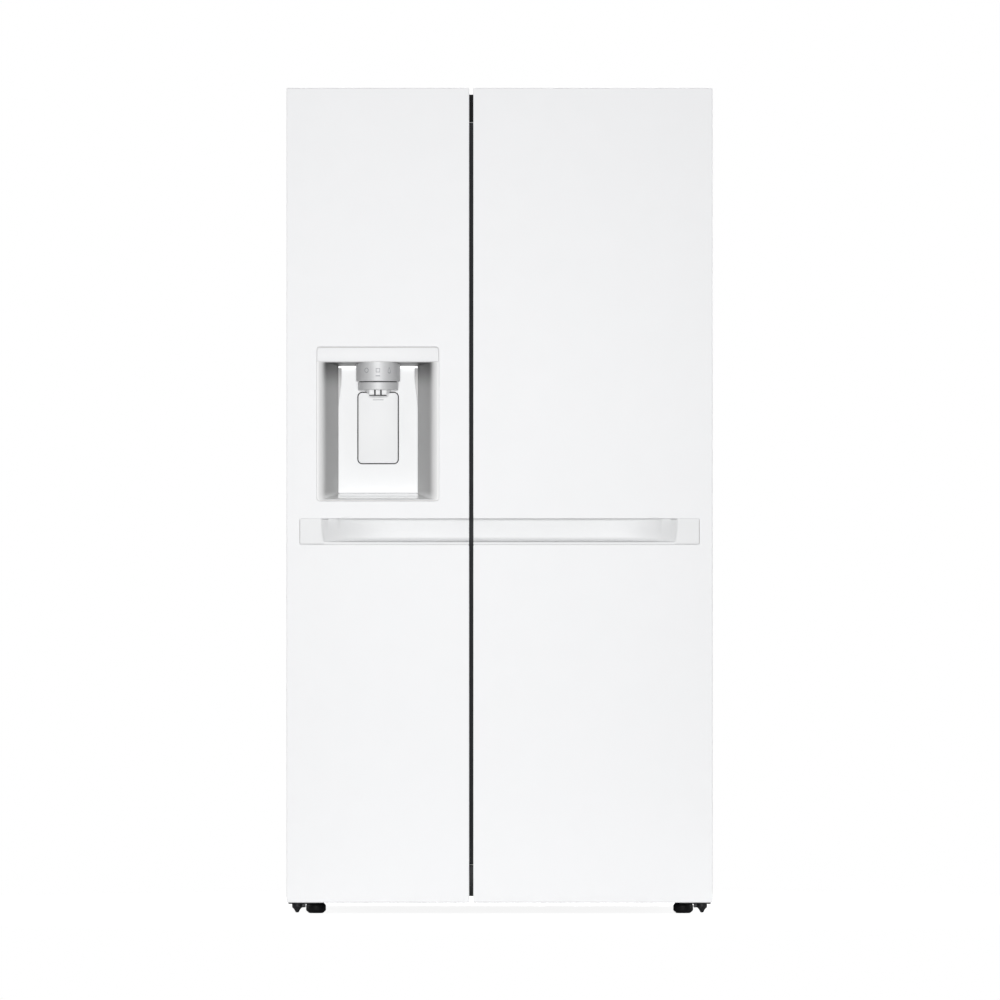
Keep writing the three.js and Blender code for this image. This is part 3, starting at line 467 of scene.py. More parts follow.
def recess_group():
    """Painted shade in the colour: white at the lip, greyer with depth, darkest under the ceiling, and white
    again on the sill.

    The two shares are smooth ramps along Y and Z: depth = ramp(y) * ramp(z over the sill), and
    roof = depth * ramp(z near the ceiling).
    """
    group, entry, out = new_group("recess_shade")
    for name, value in (("Base", 0.86), ("Deep Shade", 0.42), ("Roof Shade", 0.1)):
        socket(group, name, "NodeSocketColor", default=(value, value, value, 1))
    socket(group, "Gloss", "NodeSocketFloat", default=0.4)
    socket(group, "Color", "NodeSocketColor", "OUTPUT")
    socket(group, "Roughness", "NodeSocketFloat", "OUTPUT")
    inward = coordinate_ramp(group, 1, FRONT_Y - 2 * MM, FRONT_Y + 20 * MM)
    above = coordinate_ramp(group, 2, HOUSING_LOW[2] + 2 * MM, HOUSING_LOW[2] + 22 * MM)
    roof = coordinate_ramp(group, 2, COLLAR_LOW[2] - 20 * MM, COLLAR_HIGH[2])
    # painted shade: these ramps darken the colour with depth and under the ceiling, where the recess is
    # shaded
    depth = math_node(group, "MULTIPLY", inward, above)
    color = entry.outputs["Base"]
    for share, name in ((depth, "Deep Shade"), (math_node(group, "MULTIPLY", depth, roof), "Roof Shade")):
        mix = group.nodes.new("ShaderNodeMix")
        mix.data_type = "RGBA"
        group.links.new(share, mix.inputs[0])
        group.links.new(color, mix.inputs[6])
        group.links.new(entry.outputs[name], mix.inputs[7])
        color = mix.outputs[2]
    group.links.new(color, out.inputs["Color"])
    mottle = math_node(group, "SUBTRACT", noise_node(group, 24.0, 4.0), 0.5)
    spread = math_node(group, "MULTIPLY", mottle, 0.05)
    group.links.new(math_node(group, "ADD", spread, entry.outputs["Gloss"]), out.inputs["Roughness"])
    return group


def recess_finish():
    """The moulding of the dispenser recess, with painted shade: darker towards its back and under its roof.
    """
    material = bpy.data.materials.new("recess_painted_shade_moulding")
    material.use_nodes = True
    tree = material.node_tree
    effect = tree.nodes.new("ShaderNodeGroup")
    effect.node_tree = recess_group()
    shader = tree.nodes["Principled BSDF"]
    tree.links.new(effect.outputs["Color"], shader.inputs["Base Color"])
    tree.links.new(effect.outputs["Roughness"], shader.inputs["Roughness"])
    return material


# the recess moulding carries painted shade, darker with depth and under its ceiling
RECESS_PAINTED_SHADE_MOULDING = recess_finish()


# ---------------------------------------------------------------- camera, light and floor

CAMERA_DISTANCE = 30.0
PICTURE_WIDTH = 2.1417
PICTURE_CENTRE = (0.0009, 0.8875)


def aim(thing, target):
    """Turns a camera or a light towards a point."""
    direction = Vector(target) - thing.location
    thing.rotation_euler = direction.to_track_quat("-Z", "Y").to_euler()


def make_camera():
    """A long lens far away, level with the middle of the refrigerator."""
    data = bpy.data.cameras.new("camera")
    data.sensor_width = 36.0
    camera = bpy.data.objects.new("camera", data)
    bpy.context.scene.collection.objects.link(camera)
    x, z = PICTURE_CENTRE
    camera.location = (x, FRONT_Y - CAMERA_DISTANCE, z)
    camera.rotation_euler = (math.pi / 2, 0, 0)
    data.lens = data.sensor_width * CAMERA_DISTANCE / PICTURE_WIDTH
    data.clip_end = 200.0
    bpy.context.scene.camera = camera


def area_light(name, place_at, target, size, power):
    """A soft square or oblong light, aimed at a point."""
    data = bpy.data.lights.new(name, "AREA")
    data.shape = "RECTANGLE"
    data.size, data.size_y = size
    data.energy = power
    light = bpy.data.objects.new(name, data)
    light.location = place_at
    light.visible_camera = False
    bpy.context.scene.collection.objects.link(light)
    aim(light, target)
    return light


def make_light():
    """Two soft lights in front, weaker ones from the sides, the back and above, and a pale sky."""
    area_light("far_softbox", (-0.6, -14.0, 1.6), (-0.1, 0, 0.9), (3.0, 3.0), 1000)
    area_light("near_softbox", (-0.15, -3.2, 0.95), (-0.15, 0, 0.95), (1.0, 1.2), 20)
    area_light("left_softbox", (-5.0, 0.8, 1.8), (0, 0.1, 0.9), (2.0, 2.4), 120)
    area_light("right_softbox", (5.0, 0.8, 1.8), (0, 0.1, 0.9), (2.0, 2.4), 120)
    area_light("rear_softbox", (1.5, 5.0, 2.6), (0, 0, 0.9), (3.0, 3.0), 170)
    area_light("top_softbox", (0.3, 0.9, 5.6), (0, 0.3, 1.7), (2.0, 2.0), 90)
    world = bpy.data.worlds.new("pale_sky")
    world.use_nodes = True
    tree = world.node_tree
    sky = tree.nodes["Background"]
    sky.inputs["Color"].default_value = (0.98, 0.99, 1.0, 1)
    sky.inputs["Strength"].default_value = 0.13
    seen = tree.nodes.new("ShaderNodeBackground")
    seen.inputs["Color"].default_value = (1, 1, 1, 1)
    path = tree.nodes.new("ShaderNodeLightPath")
    mix = tree.nodes.new("ShaderNodeMixShader")
    tree.links.new(path.outputs["Is Camera Ray"], mix.inputs["Fac"])
    tree.links.new(sky.outputs[0], mix.inputs[1])
    tree.links.new(seen.outputs[0], mix.inputs[2])
    tree.links.new(mix.outputs[0], tree.nodes["World Output"].inputs["Surface"])
    bpy.context.scene.world = world
    bpy.context.scene.view_settings.view_transform = "Standard"


def make_floor():
    """A pale round floor that fades out into the white surroundings."""
    skin = Skin()
    ring = np.arange(96) * TAU / 96
    outline = np.stack([np.cos(ring), np.sin(ring), np.zeros(96)], 1) * 6.0
    skin.patch(outline, [list(range(96))])
    material = bpy.data.materials.new("pale_floor")
    material.use_nodes = True
    tree = material.node_tree
    shader = tree.nodes["Principled BSDF"]
    shader.inputs["Base Color"].default_value = (0.5, 0.5, 0.5, 1)
    shader.inputs["Roughness"].default_value = 0.6
    shader.inputs["Emission Color"].default_value = (1, 1, 1, 1)
    path = tree.nodes.new("ShaderNodeLightPath")
    glow = tree.nodes.new("ShaderNodeMapRange")
    glow.inputs["To Min"].default_value = 0.08
    glow.inputs["To Max"].default_value = 0.9
    tree.links.new(path.outputs["Is Camera Ray"], glow.inputs["Value"])
    tree.links.new(glow.outputs[0], shader.inputs["Emission Strength"])
    here = tree.nodes.new("ShaderNodeTexCoord")
    length = tree.nodes.new("ShaderNodeVectorMath")
    length.operation = "LENGTH"
    fade = tree.nodes.new("ShaderNodeMapRange")
    fade.inputs["From Min"].default_value = 0.45
    fade.inputs["From Max"].default_value = 1.6
    fade.interpolation_type = "SMOOTHSTEP"
    clear = tree.nodes.new("ShaderNodeBsdfTransparent")
    mix = tree.nodes.new("ShaderNodeMixShader")
    tree.links.new(here.outputs["Object"], length.inputs[0])
    tree.links.new(length.outputs["Value"], fade.inputs["Value"])
    tree.links.new(fade.outputs[0], mix.inputs["Fac"])
    tree.links.new(shader.outputs[0], mix.inputs[1])
    tree.links.new(clear.outputs[0], mix.inputs[2])
    tree.links.new(mix.outputs[0], tree.nodes["Material Output"].inputs["Surface"])
    floor = skin.build("floor", [material], outward=False)


make_camera()
make_light()
make_floor()


# ---------------------------------------------------------------- doors

EDGE_ROLL, GAP_ROLL, SLOT_ROLL = 2.2 * MM, 1.0 * MM, 0.7 * MM
DOOR_CORNER = 3.0 * MM


def door_corners(side, low, high):
    """The door's front outline with the handle slot cut in from the gap side, anticlockwise, with a
    radius for each corner and the size of the edge's roll for each side."""
    free, outer = (low[0], high[0]) if side > 0 else (high[0], low[0])
    slot = side * SLOT_OUTER_X
    loop = [(free, DOOR_BOTTOM), (outer, DOOR_BOTTOM), (outer, NOTCH_Z), (outer, DOOR_TOP), (free, DOOR_TOP),
            (free, SLOT_HIGH_Z), (slot, SLOT_HIGH_Z), (slot, SLOT_LOW_Z), (free, SLOT_LOW_Z)]
    radii = [DOOR_CORNER] * 9
    radii[2] = 0.4 * MM
    rolls = [EDGE_ROLL] * 4 + [GAP_ROLL] + [SLOT_ROLL] * 3 + [GAP_ROLL]
    if side > 0:
        return loop, radii, np.array(rolls)
    return loop[::-1], radii[::-1], np.array(rolls[-2::-1] + rolls[-1:])


def dispenser_outline(inset):
    """The dispenser's rounded opening in the freezer door."""
    low, high = HOUSING_LOW[[0, 2]] + 1.5 * MM, HOUSING_HIGH[[0, 2]] - 1.5 * MM
    high[1] = HOUSING_HIGH[2]
    low[1] = HOUSING_LOW[2]
    return rectangle(low, high, 6.5 * MM, inset, 8)


def pocket_section(lip=6 * MM, hook=13 * MM):
    """The finger pocket's section as depth and height: over the lower lip, along the pocket's floor,
    up its back and round the hook behind the door's face."""
    low, high, back = SLOT_LOW_Z, SLOT_HIGH_Z, POCKET_DEPTH
    section = [(0.8 * MM, low + 0.05 * MM), (0.2 * MM, low + 0.3 * MM)]
    section += [(0.15 * MM, low + lip * 0.5), (0.15 * MM, low + lip - 1.2 * MM)]
    section += [(1.35 * MM - y, low + lip - 1.2 * MM + z)
                for z, y in arc((0, 0), 1.2 * MM, 0, 90, 4)[::-1]]
    section += [(back - 14 * MM, low + lip + 0.6 * MM)]
    section += arc((back - 10 * MM, low + lip + 10.6 * MM), 10 * MM, -90, 0, 8)
    section += arc((back - 8 * MM, high + hook - 8 * MM), 8 * MM, 0, 90, 6)
    section += arc((8 * MM, high + hook - 5 * MM), 5 * MM, 90, 180, 5)
    return np.array(section + [(3 * MM, high - 0.2 * MM), (0.8 * MM, high - 0.2 * MM)])


def door_panel(name, side, low, high, hole):
    """A painted sheet: flat face, edges rolled back through a quarter turn, and side returns.

    Rings of the front outline are inset by roll * (1 - sin t) and set back by roll * (1 - cos t). A
    last flat piece closes the free edge round the finger pocket's open end.
    """
    corners, radii, rolls = door_corners(side, low, high)
    depth = round_corners(rolls)
    skin = Skin()
    rings = []
    for s, c in quarter(5):
        outline = rounded_outline(corners, radii, rolls * (1 - s))
        rings.append(lifted(outline, FRONT_Y, 1) + np.outer(depth * (1 - c), (0, 1, 0)))
    outline = rounded_outline(corners, radii)
    free = low[0] if side > 0 else high[0]
    rings.append(lifted(outline, return_depth(outline, side, free), 1))
    skin.loft(rings)
    holes = [rounded_hole(skin)] if hole else []
    face = lambda flat: lifted(flat, FRONT_Y, 1)
    skin.flat(rounded_outline(corners, radii, rolls), holes, face, (0, -1, 0))
    window = pocket_section()[6:19] + (0.3 * MM, -0.3 * MM)
    reach, z0, z1 = PANEL_REAR_Y - FRONT_Y, SLOT_LOW_Z - 4 * MM, SLOT_HIGH_Z + 4 * MM
    ends = [(window[-1, 0], z1), (reach, z1), (reach, z0), (window[0, 0], z0)]
    skin.flat(np.concatenate([window, ends]), [],
              lambda p: np.insert(p + (FRONT_Y, 0), 0, free + side * 0.05 * MM, axis=1), (-side, 0, 0))
    return skin.build(name, [WHITE_ENAMEL], outward=False)


def return_depth(outline, side, free):
    """How far back the sheet's return reaches at each point of the outline: all the way on the sides,
    a short fold along the top and bottom, and less at the hinge corner and round the handle slot."""
    x, z = outline.T
    rear = np.full(len(outline), PANEL_REAR_Y)
    rear[(z > DOOR_TOP - 0.01 * MM) | (z < DOOR_BOTTOM + 0.01 * MM)] = FRONT_Y + 14 * MM
    rear[(z > NOTCH_Z) & (side * x > SLOT_OUTER_X)] = FRONT_Y + 7 * MM
    within = (z > SLOT_LOW_Z - 2 * MM) & (z < SLOT_HIGH_Z + 2 * MM)
    within &= (np.abs(x - free) > 0.1 * MM) & (np.abs(x) < SLOT_OUTER_X + 1 * MM)
    rear[within] = FRONT_Y + EDGE_ROLL + 2 * MM
    return rear


def rounded_hole(skin):
    """Rolls the sheet back round the dispenser's opening, and gives the flat face's inner loop."""
    roll = 1.2 * MM
    rings = [lifted(dispenser_outline(roll * (1 - c) - roll), FRONT_Y + roll * (1 - s), 1)
             for s, c in quarter(4)][::-1]
    rings.append(lifted(dispenser_outline(0), FRONT_Y + 4 * MM, 1))
    skin.loft([ring[::-1] for ring in rings])
    return dispenser_outline(-roll)


place(door_panel("freezer_door_skin", -1, FREEZER_LOW, FREEZER_HIGH, True), "freezer_door", "door_paint",
      "freezer_door_panel")
place(door_panel("fridge_door_skin", 1, FRIDGE_LOW, FRIDGE_HIGH, False), "fridge_door", "door_paint",
      "fridge_door_panel")


def smooth_step(t):
    """0 to 1 with no slope at either end."""
    t = np.clip(t, 0, 1)
    return t * t * (3 - 2 * t)


def handle_pocket(name, side):
    """The finger pocket: one section carried along X, from the gap to the outer end.

    Towards the outer end the section eases out on to the flat plate. With t the distance from the
    plate in shares of the slope's length, softened near zero, each point's depth is multiplied by
    1 - (1 - t) ** 2.4. The lower heights move on to the plate only over the slope's last few millimetres; the
    hook's come down earlier.
    """
    section = pocket_section()
    length = np.concatenate([[0], np.cumsum(np.linalg.norm(np.diff(section, axis=0), axis=1))])
    knee = 18
    plate_z = np.interp(length, length[[0, knee, -1]],
                        [SLOT_LOW_Z, SLOT_HIGH_Z - 1.5 * MM, SLOT_HIGH_Z])
    plate_y = np.full(len(section), 0.15 * MM)
    plate_y[[0, -1]] = 0.8 * MM
    gap_x = abs(FRIDGE_LOW[0] if side > 0 else FREEZER_HIGH[0]) * (-1 if side > 0 else 1) + 0.3 * MM
    outer = SLOT_OUTER_X - 0.4 * MM
    slope_end, slope_length = outer - 44 * MM, 165 * MM
    slope = slope_end - slope_length * (1 - np.linspace(0, 1, 26)) ** 2
    along = np.concatenate([[gap_x, gap_x + 0.4 * MM, gap_x + 4 * MM, 0.1], slope,
                            [outer - 4 * MM, outer - 0.3 * MM, outer]])
    t = np.clip((slope_end - along) / slope_length, 0, 1)
    t = (np.sqrt(t ** 2 + 0.0004) - 0.02) / (math.sqrt(1.0004) - 0.02)
    weight = ((1 - t) ** 2.4)[:, None]
    hook = np.arange(len(section)) > knee
    rise = np.where(hook, np.minimum(weight * 1.8, 1), smooth_step((weight - 0.9) / 0.1))
    y = section[None, :, 0] * (1 - weight) + plate_y * weight
    z = section[None, :, 1] * (1 - rise) + plate_z * rise
    y[-1] = 0.8 * MM
    x = np.broadcast_to(side * along[:, None], y.shape)
    skin = Skin()
    skin.loft(np.stack([x, FRONT_Y + y, z], -1), closed=False)
    piece = skin.build(name, [WHITE_MOULDING], sharp=50)
    face_front(piece)
    solidify(piece, 2.2 * MM).use_even_offset = False
    return piece


def face_front(piece):
    """Turns an open sheet's faces so that most of its area looks towards -Y."""
    mesh = piece.data
    areas = np.array([face.area for face in mesh.polygons])
    normals = np.array([tuple(face.normal) for face in mesh.polygons])
    if (areas * normals[:, 1]).sum() > 0:
        mesh.flip_normals()


place(handle_pocket("freezer_finger_pocket", -1), "freezer_door", "white_plastic", "freezer_handle")
place(handle_pocket("fridge_finger_pocket", 1), "fridge_door", "white_plastic", "fridge_handle")


# ---------------------------------------------------------------- dispenser

RECESS_HALF = 130.3 * MM
RECESS_LOW_Z = 886 * MM
RECESS_HIGH_Z = 1184.4 * MM
RECESS_DEPTH = 62 * MM
BACK_HALF = 85.5 * MM
ROLL = 18 * MM
ROLL_TURN = math.radians(58)
SILL_RISE = 15 * MM


def recess_wall(y):
    """How far the side wall has come in at depth y: a round lip, then a straight splay."""
    turn = ROLL_TURN
    end_y, end_x = ROLL * (1 - math.cos(turn)), ROLL * math.sin(turn)
    if y < end_y:
        return math.sqrt(max(2 * ROLL * y - y * y, 0))
    wall = RECESS_HALF - BACK_HALF - 0.8 * MM
    return end_x + (wall - end_x) * (y - end_y) / (RECESS_DEPTH - end_y)


def recess_sill(y):
    """How far the floor has risen at depth y: a small round lip, then a gentle slope."""
    lip = 3 * MM
    start = math.sqrt(max(2 * lip * min(y, lip) - min(y, lip) ** 2, 0))
    return start + (SILL_RISE - lip) * y / RECESS_DEPTH


def recess_ring(y, inset=0.0):
    """The recess's outline at depth y behind the door's face."""
    share = y / RECESS_DEPTH
    half = RECESS_HALF - recess_wall(y) - inset
    low = (DISPENSER_X - half, RECESS_LOW_Z + recess_sill(y) + inset)
    high = (DISPENSER_X + half, RECESS_HIGH_Z - 8.6 * MM * share)
    (x0, z0), (x1, z1) = low, high
    corner = (6.5 - 2 * share) * MM
    outline = rounded_outline([(x0, z0), (x1, z0), (x1, z1), (x0, z1)],
                              [corner, corner, 0.8 * MM, 0.8 * MM], 0, 8)
    return lifted(outline, FRONT_Y + y, 1)


def paddle_outline(grow):
    """The paddle's rounded outline, grown outwards by a distance."""
    low, high = PADDLE_LOW[[0, 2]] - grow, PADDLE_HIGH[[0, 2]] + grow
    return rectangle(low, high, 9 * MM + grow, 0, 8)


def dispenser_recess():
    """Outlines that shrink with depth, then a back wall with a well behind the paddle."""
    skin = Skin()
    lip_end = ROLL * (1 - math.cos(ROLL_TURN))
    depths = [ROLL * (1 - math.cos(t)) for t in np.linspace(0, ROLL_TURN, 9)]
    depths += list(np.linspace(lip_end, RECESS_DEPTH + 2 * MM, 12)[1:])
    rings = [recess_ring(0) + np.array([0, 3 * MM, 0])]
    rings += [recess_ring(y) for y in depths]
    skin.loft(rings)
    back_y = FRONT_Y + RECESS_DEPTH + 2 * MM
    well = [lifted(paddle_outline(2.4 * MM), back_y, 1),
            lifted(paddle_outline(2.4 * MM), HOUSING_HIGH[1] - 3 * MM, 1)]
    skin.flat(rings[-1][:, [0, 2]], [paddle_outline(2.4 * MM)], lambda p: lifted(p, back_y, 1), (0, -1, 0))
    # painted shade: the well behind the paddle is coloured near black
    skin.loft(well, cap_last=True, material=1)
    piece = skin.build("dispenser_recess", [RECESS_PAINTED_SHADE_MOULDING, GROOVE_PAINTED_SHADE], sharp=32)
    face_front(piece)
    solidify(piece, 1.6 * MM)
    return piece


def back_plate_outline(inset):
    """The plate behind the spout: it narrows towards the top in an S, and stops short of the ceiling."""
    low_z, high_z = RECESS_LOW_Z + SILL_RISE + 1 * MM, 1176 * MM
    z = np.linspace(high_z - 95 * MM, high_z, 14)
    half = BACK_HALF - 6.5 * MM * smooth_step((z - z[0]) / (high_z - z[0] - 20 * MM)) - inset
    right = np.stack([DISPENSER_X + half, z], 1)
    left = np.stack([DISPENSER_X - half, z], 1)[::-1]
    foot = [(DISPENSER_X - BACK_HALF + inset, low_z + inset),
            (DISPENSER_X + BACK_HALF - inset, low_z + inset)]
    right[-1, 1] -= inset
    left[0, 1] -= inset
    return np.concatenate([foot, right, left])


def dispenser_back_plate():
    """A plate proud of the recess's back by 2 mm, with a round edge, open round the paddle."""
    skin = Skin()
    face_y = FRONT_Y + RECESS_DEPTH
    roll = 1.6 * MM
    rings = [lifted(back_plate_outline(roll * (1 - s)), face_y + roll * (1 - c), 1) for s, c in quarter(4)]
    rings.append(lifted(back_plate_outline(0), face_y + 2.4 * MM, 1))
    skin.loft(rings)
    hole = [lifted(paddle_outline(1.7 * MM + 0.4 * MM * (1 - s)), face_y + 0.4 * MM * (1 - c), 1)
            for s, c in quarter(3)]
    skin.loft([ring[::-1] for ring in hole])
    # painted shade: a dark ring on the plate round the paddle's opening
    skin.loft([lifted(paddle_outline(grow), face_y + 0.4 * MM, 1) for grow in (1.8 * MM, -0.4 * MM)],
              material=1)
    skin.flat(back_plate_outline(roll), [paddle_outline(2.1 * MM)], lambda p: lifted(p, face_y, 1),
              (0, -1, 0))
    # the plate's moulding glows faintly: painted light from the dispenser lamp
    return skin.build("dispenser_back_plate", [MOULDING_PAINTED_GLOW, GROOVE_PAINTED_SHADE], sharp=32, outward=False)


def dispenser_header():
    """The band over the recess, flush with the door, round at its top corners."""
    x0, x1 = DISPENSER_X - RECESS_HALF + 0.2 * MM, DISPENSER_X + RECESS_HALF - 0.2 * MM
    corners = [(x0, RECESS_HIGH_Z + 0.2 * MM), (x1, RECESS_HIGH_Z + 0.2 * MM),
               (x1, HOUSING_HIGH[2] - 0.4 * MM),
               (x0, HOUSING_HIGH[2] - 0.4 * MM)]
    radii = [0.9 * MM, 0.9 * MM, 6.3 * MM, 6.3 * MM]
    skin = Skin()
    roll = 0.8 * MM
    rings = [lifted(rounded_outline(corners, radii, 0, 8), FRONT_Y + 6 * MM, 1)]
    rings += [lifted(rounded_outline(corners, radii, roll * (1 - s), 8), FRONT_Y + roll * (1 - c), 1)
              for s, c in quarter(4)[::-1]]
    skin.loft(rings, cap_first=True, cap_last=True)
    return skin.build("dispenser_header_band", [WHITE_ENAMEL], sharp=50)


def half_turn(radius, z, centre_y, flat_y, segments=40):
    """A ring that follows a circle in front of flat_y and is straight behind it."""
    reach = math.acos(np.clip((flat_y - centre_y) / radius, -1, 1))
    angle = np.linspace(reach, TAU - reach, segments) + math.pi / 2
    ring = np.stack([DISPENSER_X + radius * np.cos(angle), centre_y + radius * np.sin(angle)], 1)
    return lifted(ring, z, 2)


def collar_stack(skin, profile, centre_y, flat_y, material=0):
    """A lathed profile carried round a half turn and closed by a flat back."""
    rings = [half_turn(radius, z, centre_y, flat_y) for radius, z in profile]
    skin.loft(rings, cap_first=True, cap_last=True, material=material)


COLLAR_RADIUS = (COLLAR_HIGH[0] - COLLAR_LOW[0]) / 2
COLLAR_Y = COLLAR_LOW[1] + COLLAR_RADIUS
COLLAR_FLAT_Y = COLLAR_HIGH[1]


def spout_collar():
    """The silver collar: a round skirt with a small roll at its foot."""
    skin = Skin()
    r, foot = COLLAR_RADIUS, COLLAR_LOW[2]
    profile = [(r - 5 * MM, foot + 1 * MM), (r - 2.4 * MM, foot)]
    profile += [(r - 1.6 * MM + 1.6 * MM * s, foot + 1.6 * MM * (1 - c)) for s, c in quarter(4)]
    profile += [(r, COLLAR_HIGH[2] - 0.4 * MM)]
    collar_stack(skin, profile, COLLAR_Y, COLLAR_FLAT_Y)
    return skin.build("spout_collar", [SATIN_SILVER], sharp=40)


def spout_ring():
    """The lower ring, a groove above it painted dark as shade, and a nozzle with three white teeth over a
    foot painted dark as the shade in its slots.
    """
    skin = Skin()
    r, top = (SPOUT_HIGH[0] - SPOUT_LOW[0]) / 2, SPOUT_HIGH[2]
    foot = top - 18.2 * MM
    groove = r - 2.5 * MM
    # painted shade: the groove between the rings is coloured near black
    collar_stack(skin, [(groove, top - 1.6 * MM), (groove, COLLAR_LOW[2] + 1.4 * MM)], COLLAR_Y,
                 COLLAR_FLAT_Y, 1)
    profile = [(r - 6 * MM, foot + 0.6 * MM), (r - 2 * MM, foot)]
    profile += [(r - 1.4 * MM + 1.4 * MM * s, foot + 1.4 * MM * (1 - c)) for s, c in quarter(4)]
    profile += [(r, top - 2.4 * MM), (r - 0.8 * MM, top - 1.6 * MM), (groove, top - 1.6 * MM)]
    collar_stack(skin, profile, COLLAR_Y, COLLAR_FLAT_Y)
    centre = (DISPENSER_X, COLLAR_Y, 0)
    nozzle_foot = SPOUT_LOW[2]
    lathe(skin, [(0, foot + 1 * MM), (27 * MM, foot + 1 * MM), (27 * MM, foot - 2 * MM),
                 (24 * MM, foot - 6 * MM), (20 * MM, foot - 6.5 * MM), (0, foot - 6.5 * MM)][::-1],
          centre, segments=40, material=2)
    for offset, half in ((-13.4, 5.4), (0, 5.0), (13.4, 5.4)):
        low = (DISPENSER_X + (offset - half) * MM, COLLAR_Y - 31 * MM, nozzle_foot + 1.8 * MM)
        high = (DISPENSER_X + (offset + half) * MM, COLLAR_Y - 12 * MM, foot + 1 * MM)
        soft_box(skin, low, high, 0.8 * MM, material=2)
    # painted shade: dark blocks behind and under the teeth stand for the shade in the nozzle's slots
    soft_box(skin, (DISPENSER_X - 15 * MM, COLLAR_Y - 29.5 * MM, nozzle_foot + 1 * MM),
             (DISPENSER_X + 15 * MM, COLLAR_Y - 12 * MM, foot + 0.5 * MM), 0.6 * MM, material=1)
    soft_box(skin, (DISPENSER_X - 18.5 * MM, COLLAR_Y - 30 * MM, nozzle_foot),
             (DISPENSER_X + 18.5 * MM, COLLAR_Y - 10 * MM, nozzle_foot + 2 * MM), 0.6 * MM, material=1)
    return skin.build("spout_ring", [SATIN_SILVER, GROOVE_PAINTED_SHADE, WHITE_MOULDING], sharp=40)


def paddle_plate():
    """The push paddle: a plate with round corners and a rolled edge, and a thin grip line near its top."""
    skin = Skin()
    roll, face_y = 0.9 * MM, PADDLE_LOW[1]
    rings = [lifted(paddle_outline(-0.5 * MM - roll * (1 - s)), face_y + roll * (1 - c), 1)
             for s, c in quarter(4)]
    rings.append(lifted(paddle_outline(-0.5 * MM), PADDLE_HIGH[1], 1))
    skin.loft(rings[::-1], cap_first=True, cap_last=True)
    line_z = PADDLE_HIGH[2] - 15.5 * MM
    soft_box(skin, (DISPENSER_X - 11.5 * MM, face_y - 0.15 * MM, line_z - 0.7 * MM),
             (DISPENSER_X + 11.5 * MM, face_y + 0.6 * MM, line_z + 0.7 * MM), 0.3 * MM, material=1)
    # the paddle's moulding glows faintly: painted light from the dispenser lamp
    return skin.build("paddle_plate", [MOULDING_PAINTED_GLOW, ICON_GREY], sharp=50)


def on_collar(flat, lift=0.12 * MM):
    """Bends flat (across, up) points round the collar's front; across is measured along the arc."""
    angle = flat[:, 0] / COLLAR_RADIUS - math.pi / 2
    radius = COLLAR_RADIUS + lift
    return np.stack([DISPENSER_X + radius * np.cos(angle), COLLAR_Y + radius * np.sin(angle), flat[:, 1]], 1)


def icon_loop(kind, size, steps=24):
    """A closed outline about the origin: a ring, a square or a drop, from one angle parameter."""
    t = np.arange(steps) * TAU / steps
    if kind == "ring":
        return np.stack([np.cos(t), np.sin(t)], 1) * size
    if kind == "square":
        reach = 1 / np.maximum(np.abs(np.cos(t)), np.abs(np.sin(t)))
        return np.stack([np.cos(t) * reach, np.sin(t) * reach], 1) * size * 0.85
    return np.stack([np.cos(t) * (1 - 0.45 * (np.sin(t) + 1)), np.sin(t) * 1.35], 1) * size


def touch_icons():
    """Three plain symbols inlaid on the collar, drawn as bands between two outlines, and a dash."""
    skin = Skin()
    for index, kind in enumerate(("ring", "square", "drop")):
        centre = np.array([(index - 1) * 25.5 * MM, 1165.5 * MM])
        bands = [on_collar(icon_loop(kind, size) + centre) for size in (5.2 * MM, 3.9 * MM)]
        skin.loft(bands)
    half, low, high = 5 * MM, 1152.6 * MM, 1154.2 * MM
    across = np.linspace(-half, half, 6)
    bands = [on_collar(np.stack([across, np.full(6, z)], 1)) for z in (low, high)]
    skin.loft(bands, closed=False)
    piece = skin.build("touch_icons", [ICON_GREY], sharp=60)
    face_front(piece)
    solidify(piece, 0.1 * MM)
    return piece


def sill_tray():
    """A shallow tray let into the recess's sloped floor, with a raised rim."""
    skin = Skin()
    tray_low, tray_high = span("drip_tray")
    tray_low[0], tray_high[0] = DISPENSER_X - BACK_HALF, DISPENSER_X + BACK_HALF
    slope = (SILL_RISE - 3 * MM) / RECESS_DEPTH
    lift = lambda outline, rise: np.column_stack([outline, RECESS_LOW_Z + 3 * MM + rise
                                                  + slope * (outline[:, 1] - FRONT_Y)])
    plan = lambda inset: rectangle(tray_low[:2], tray_high[:2] + np.array([0, 3 * MM]), 6 * MM, inset, 5)
    rings = [lift(plan(0), 0), lift(plan(0.4 * MM), 0.9 * MM), lift(plan(1.4 * MM), 1.1 * MM),
             lift(plan(2.2 * MM), 0.9 * MM)]
    rings += [lift(plan(3.0 * MM), 0.35 * MM)]
    skin.loft(rings, cap_last=True)
    # the tray's material glows: painted light from the dispenser lamp
    return skin.build("sill_tray", [TRAY_PAINTED_GLOW], sharp=40)


def light_guide():
    """A milky bar under the recess's ceiling, on each side of the collar."""
    skin = Skin()
    low, high = span("dispenser_lamp")
    for side in (-1, 1):
        near, far = DISPENSER_X + side * 47.5 * MM, DISPENSER_X + side * 85 * MM
        soft_box(skin, (min(near, far), low[1], low[2]), (max(near, far), high[1] - 0.2 * MM, high[2]),
                 0.8 * MM)
    return skin.build("light_guide", [LAMP_WHITE], sharp=50)


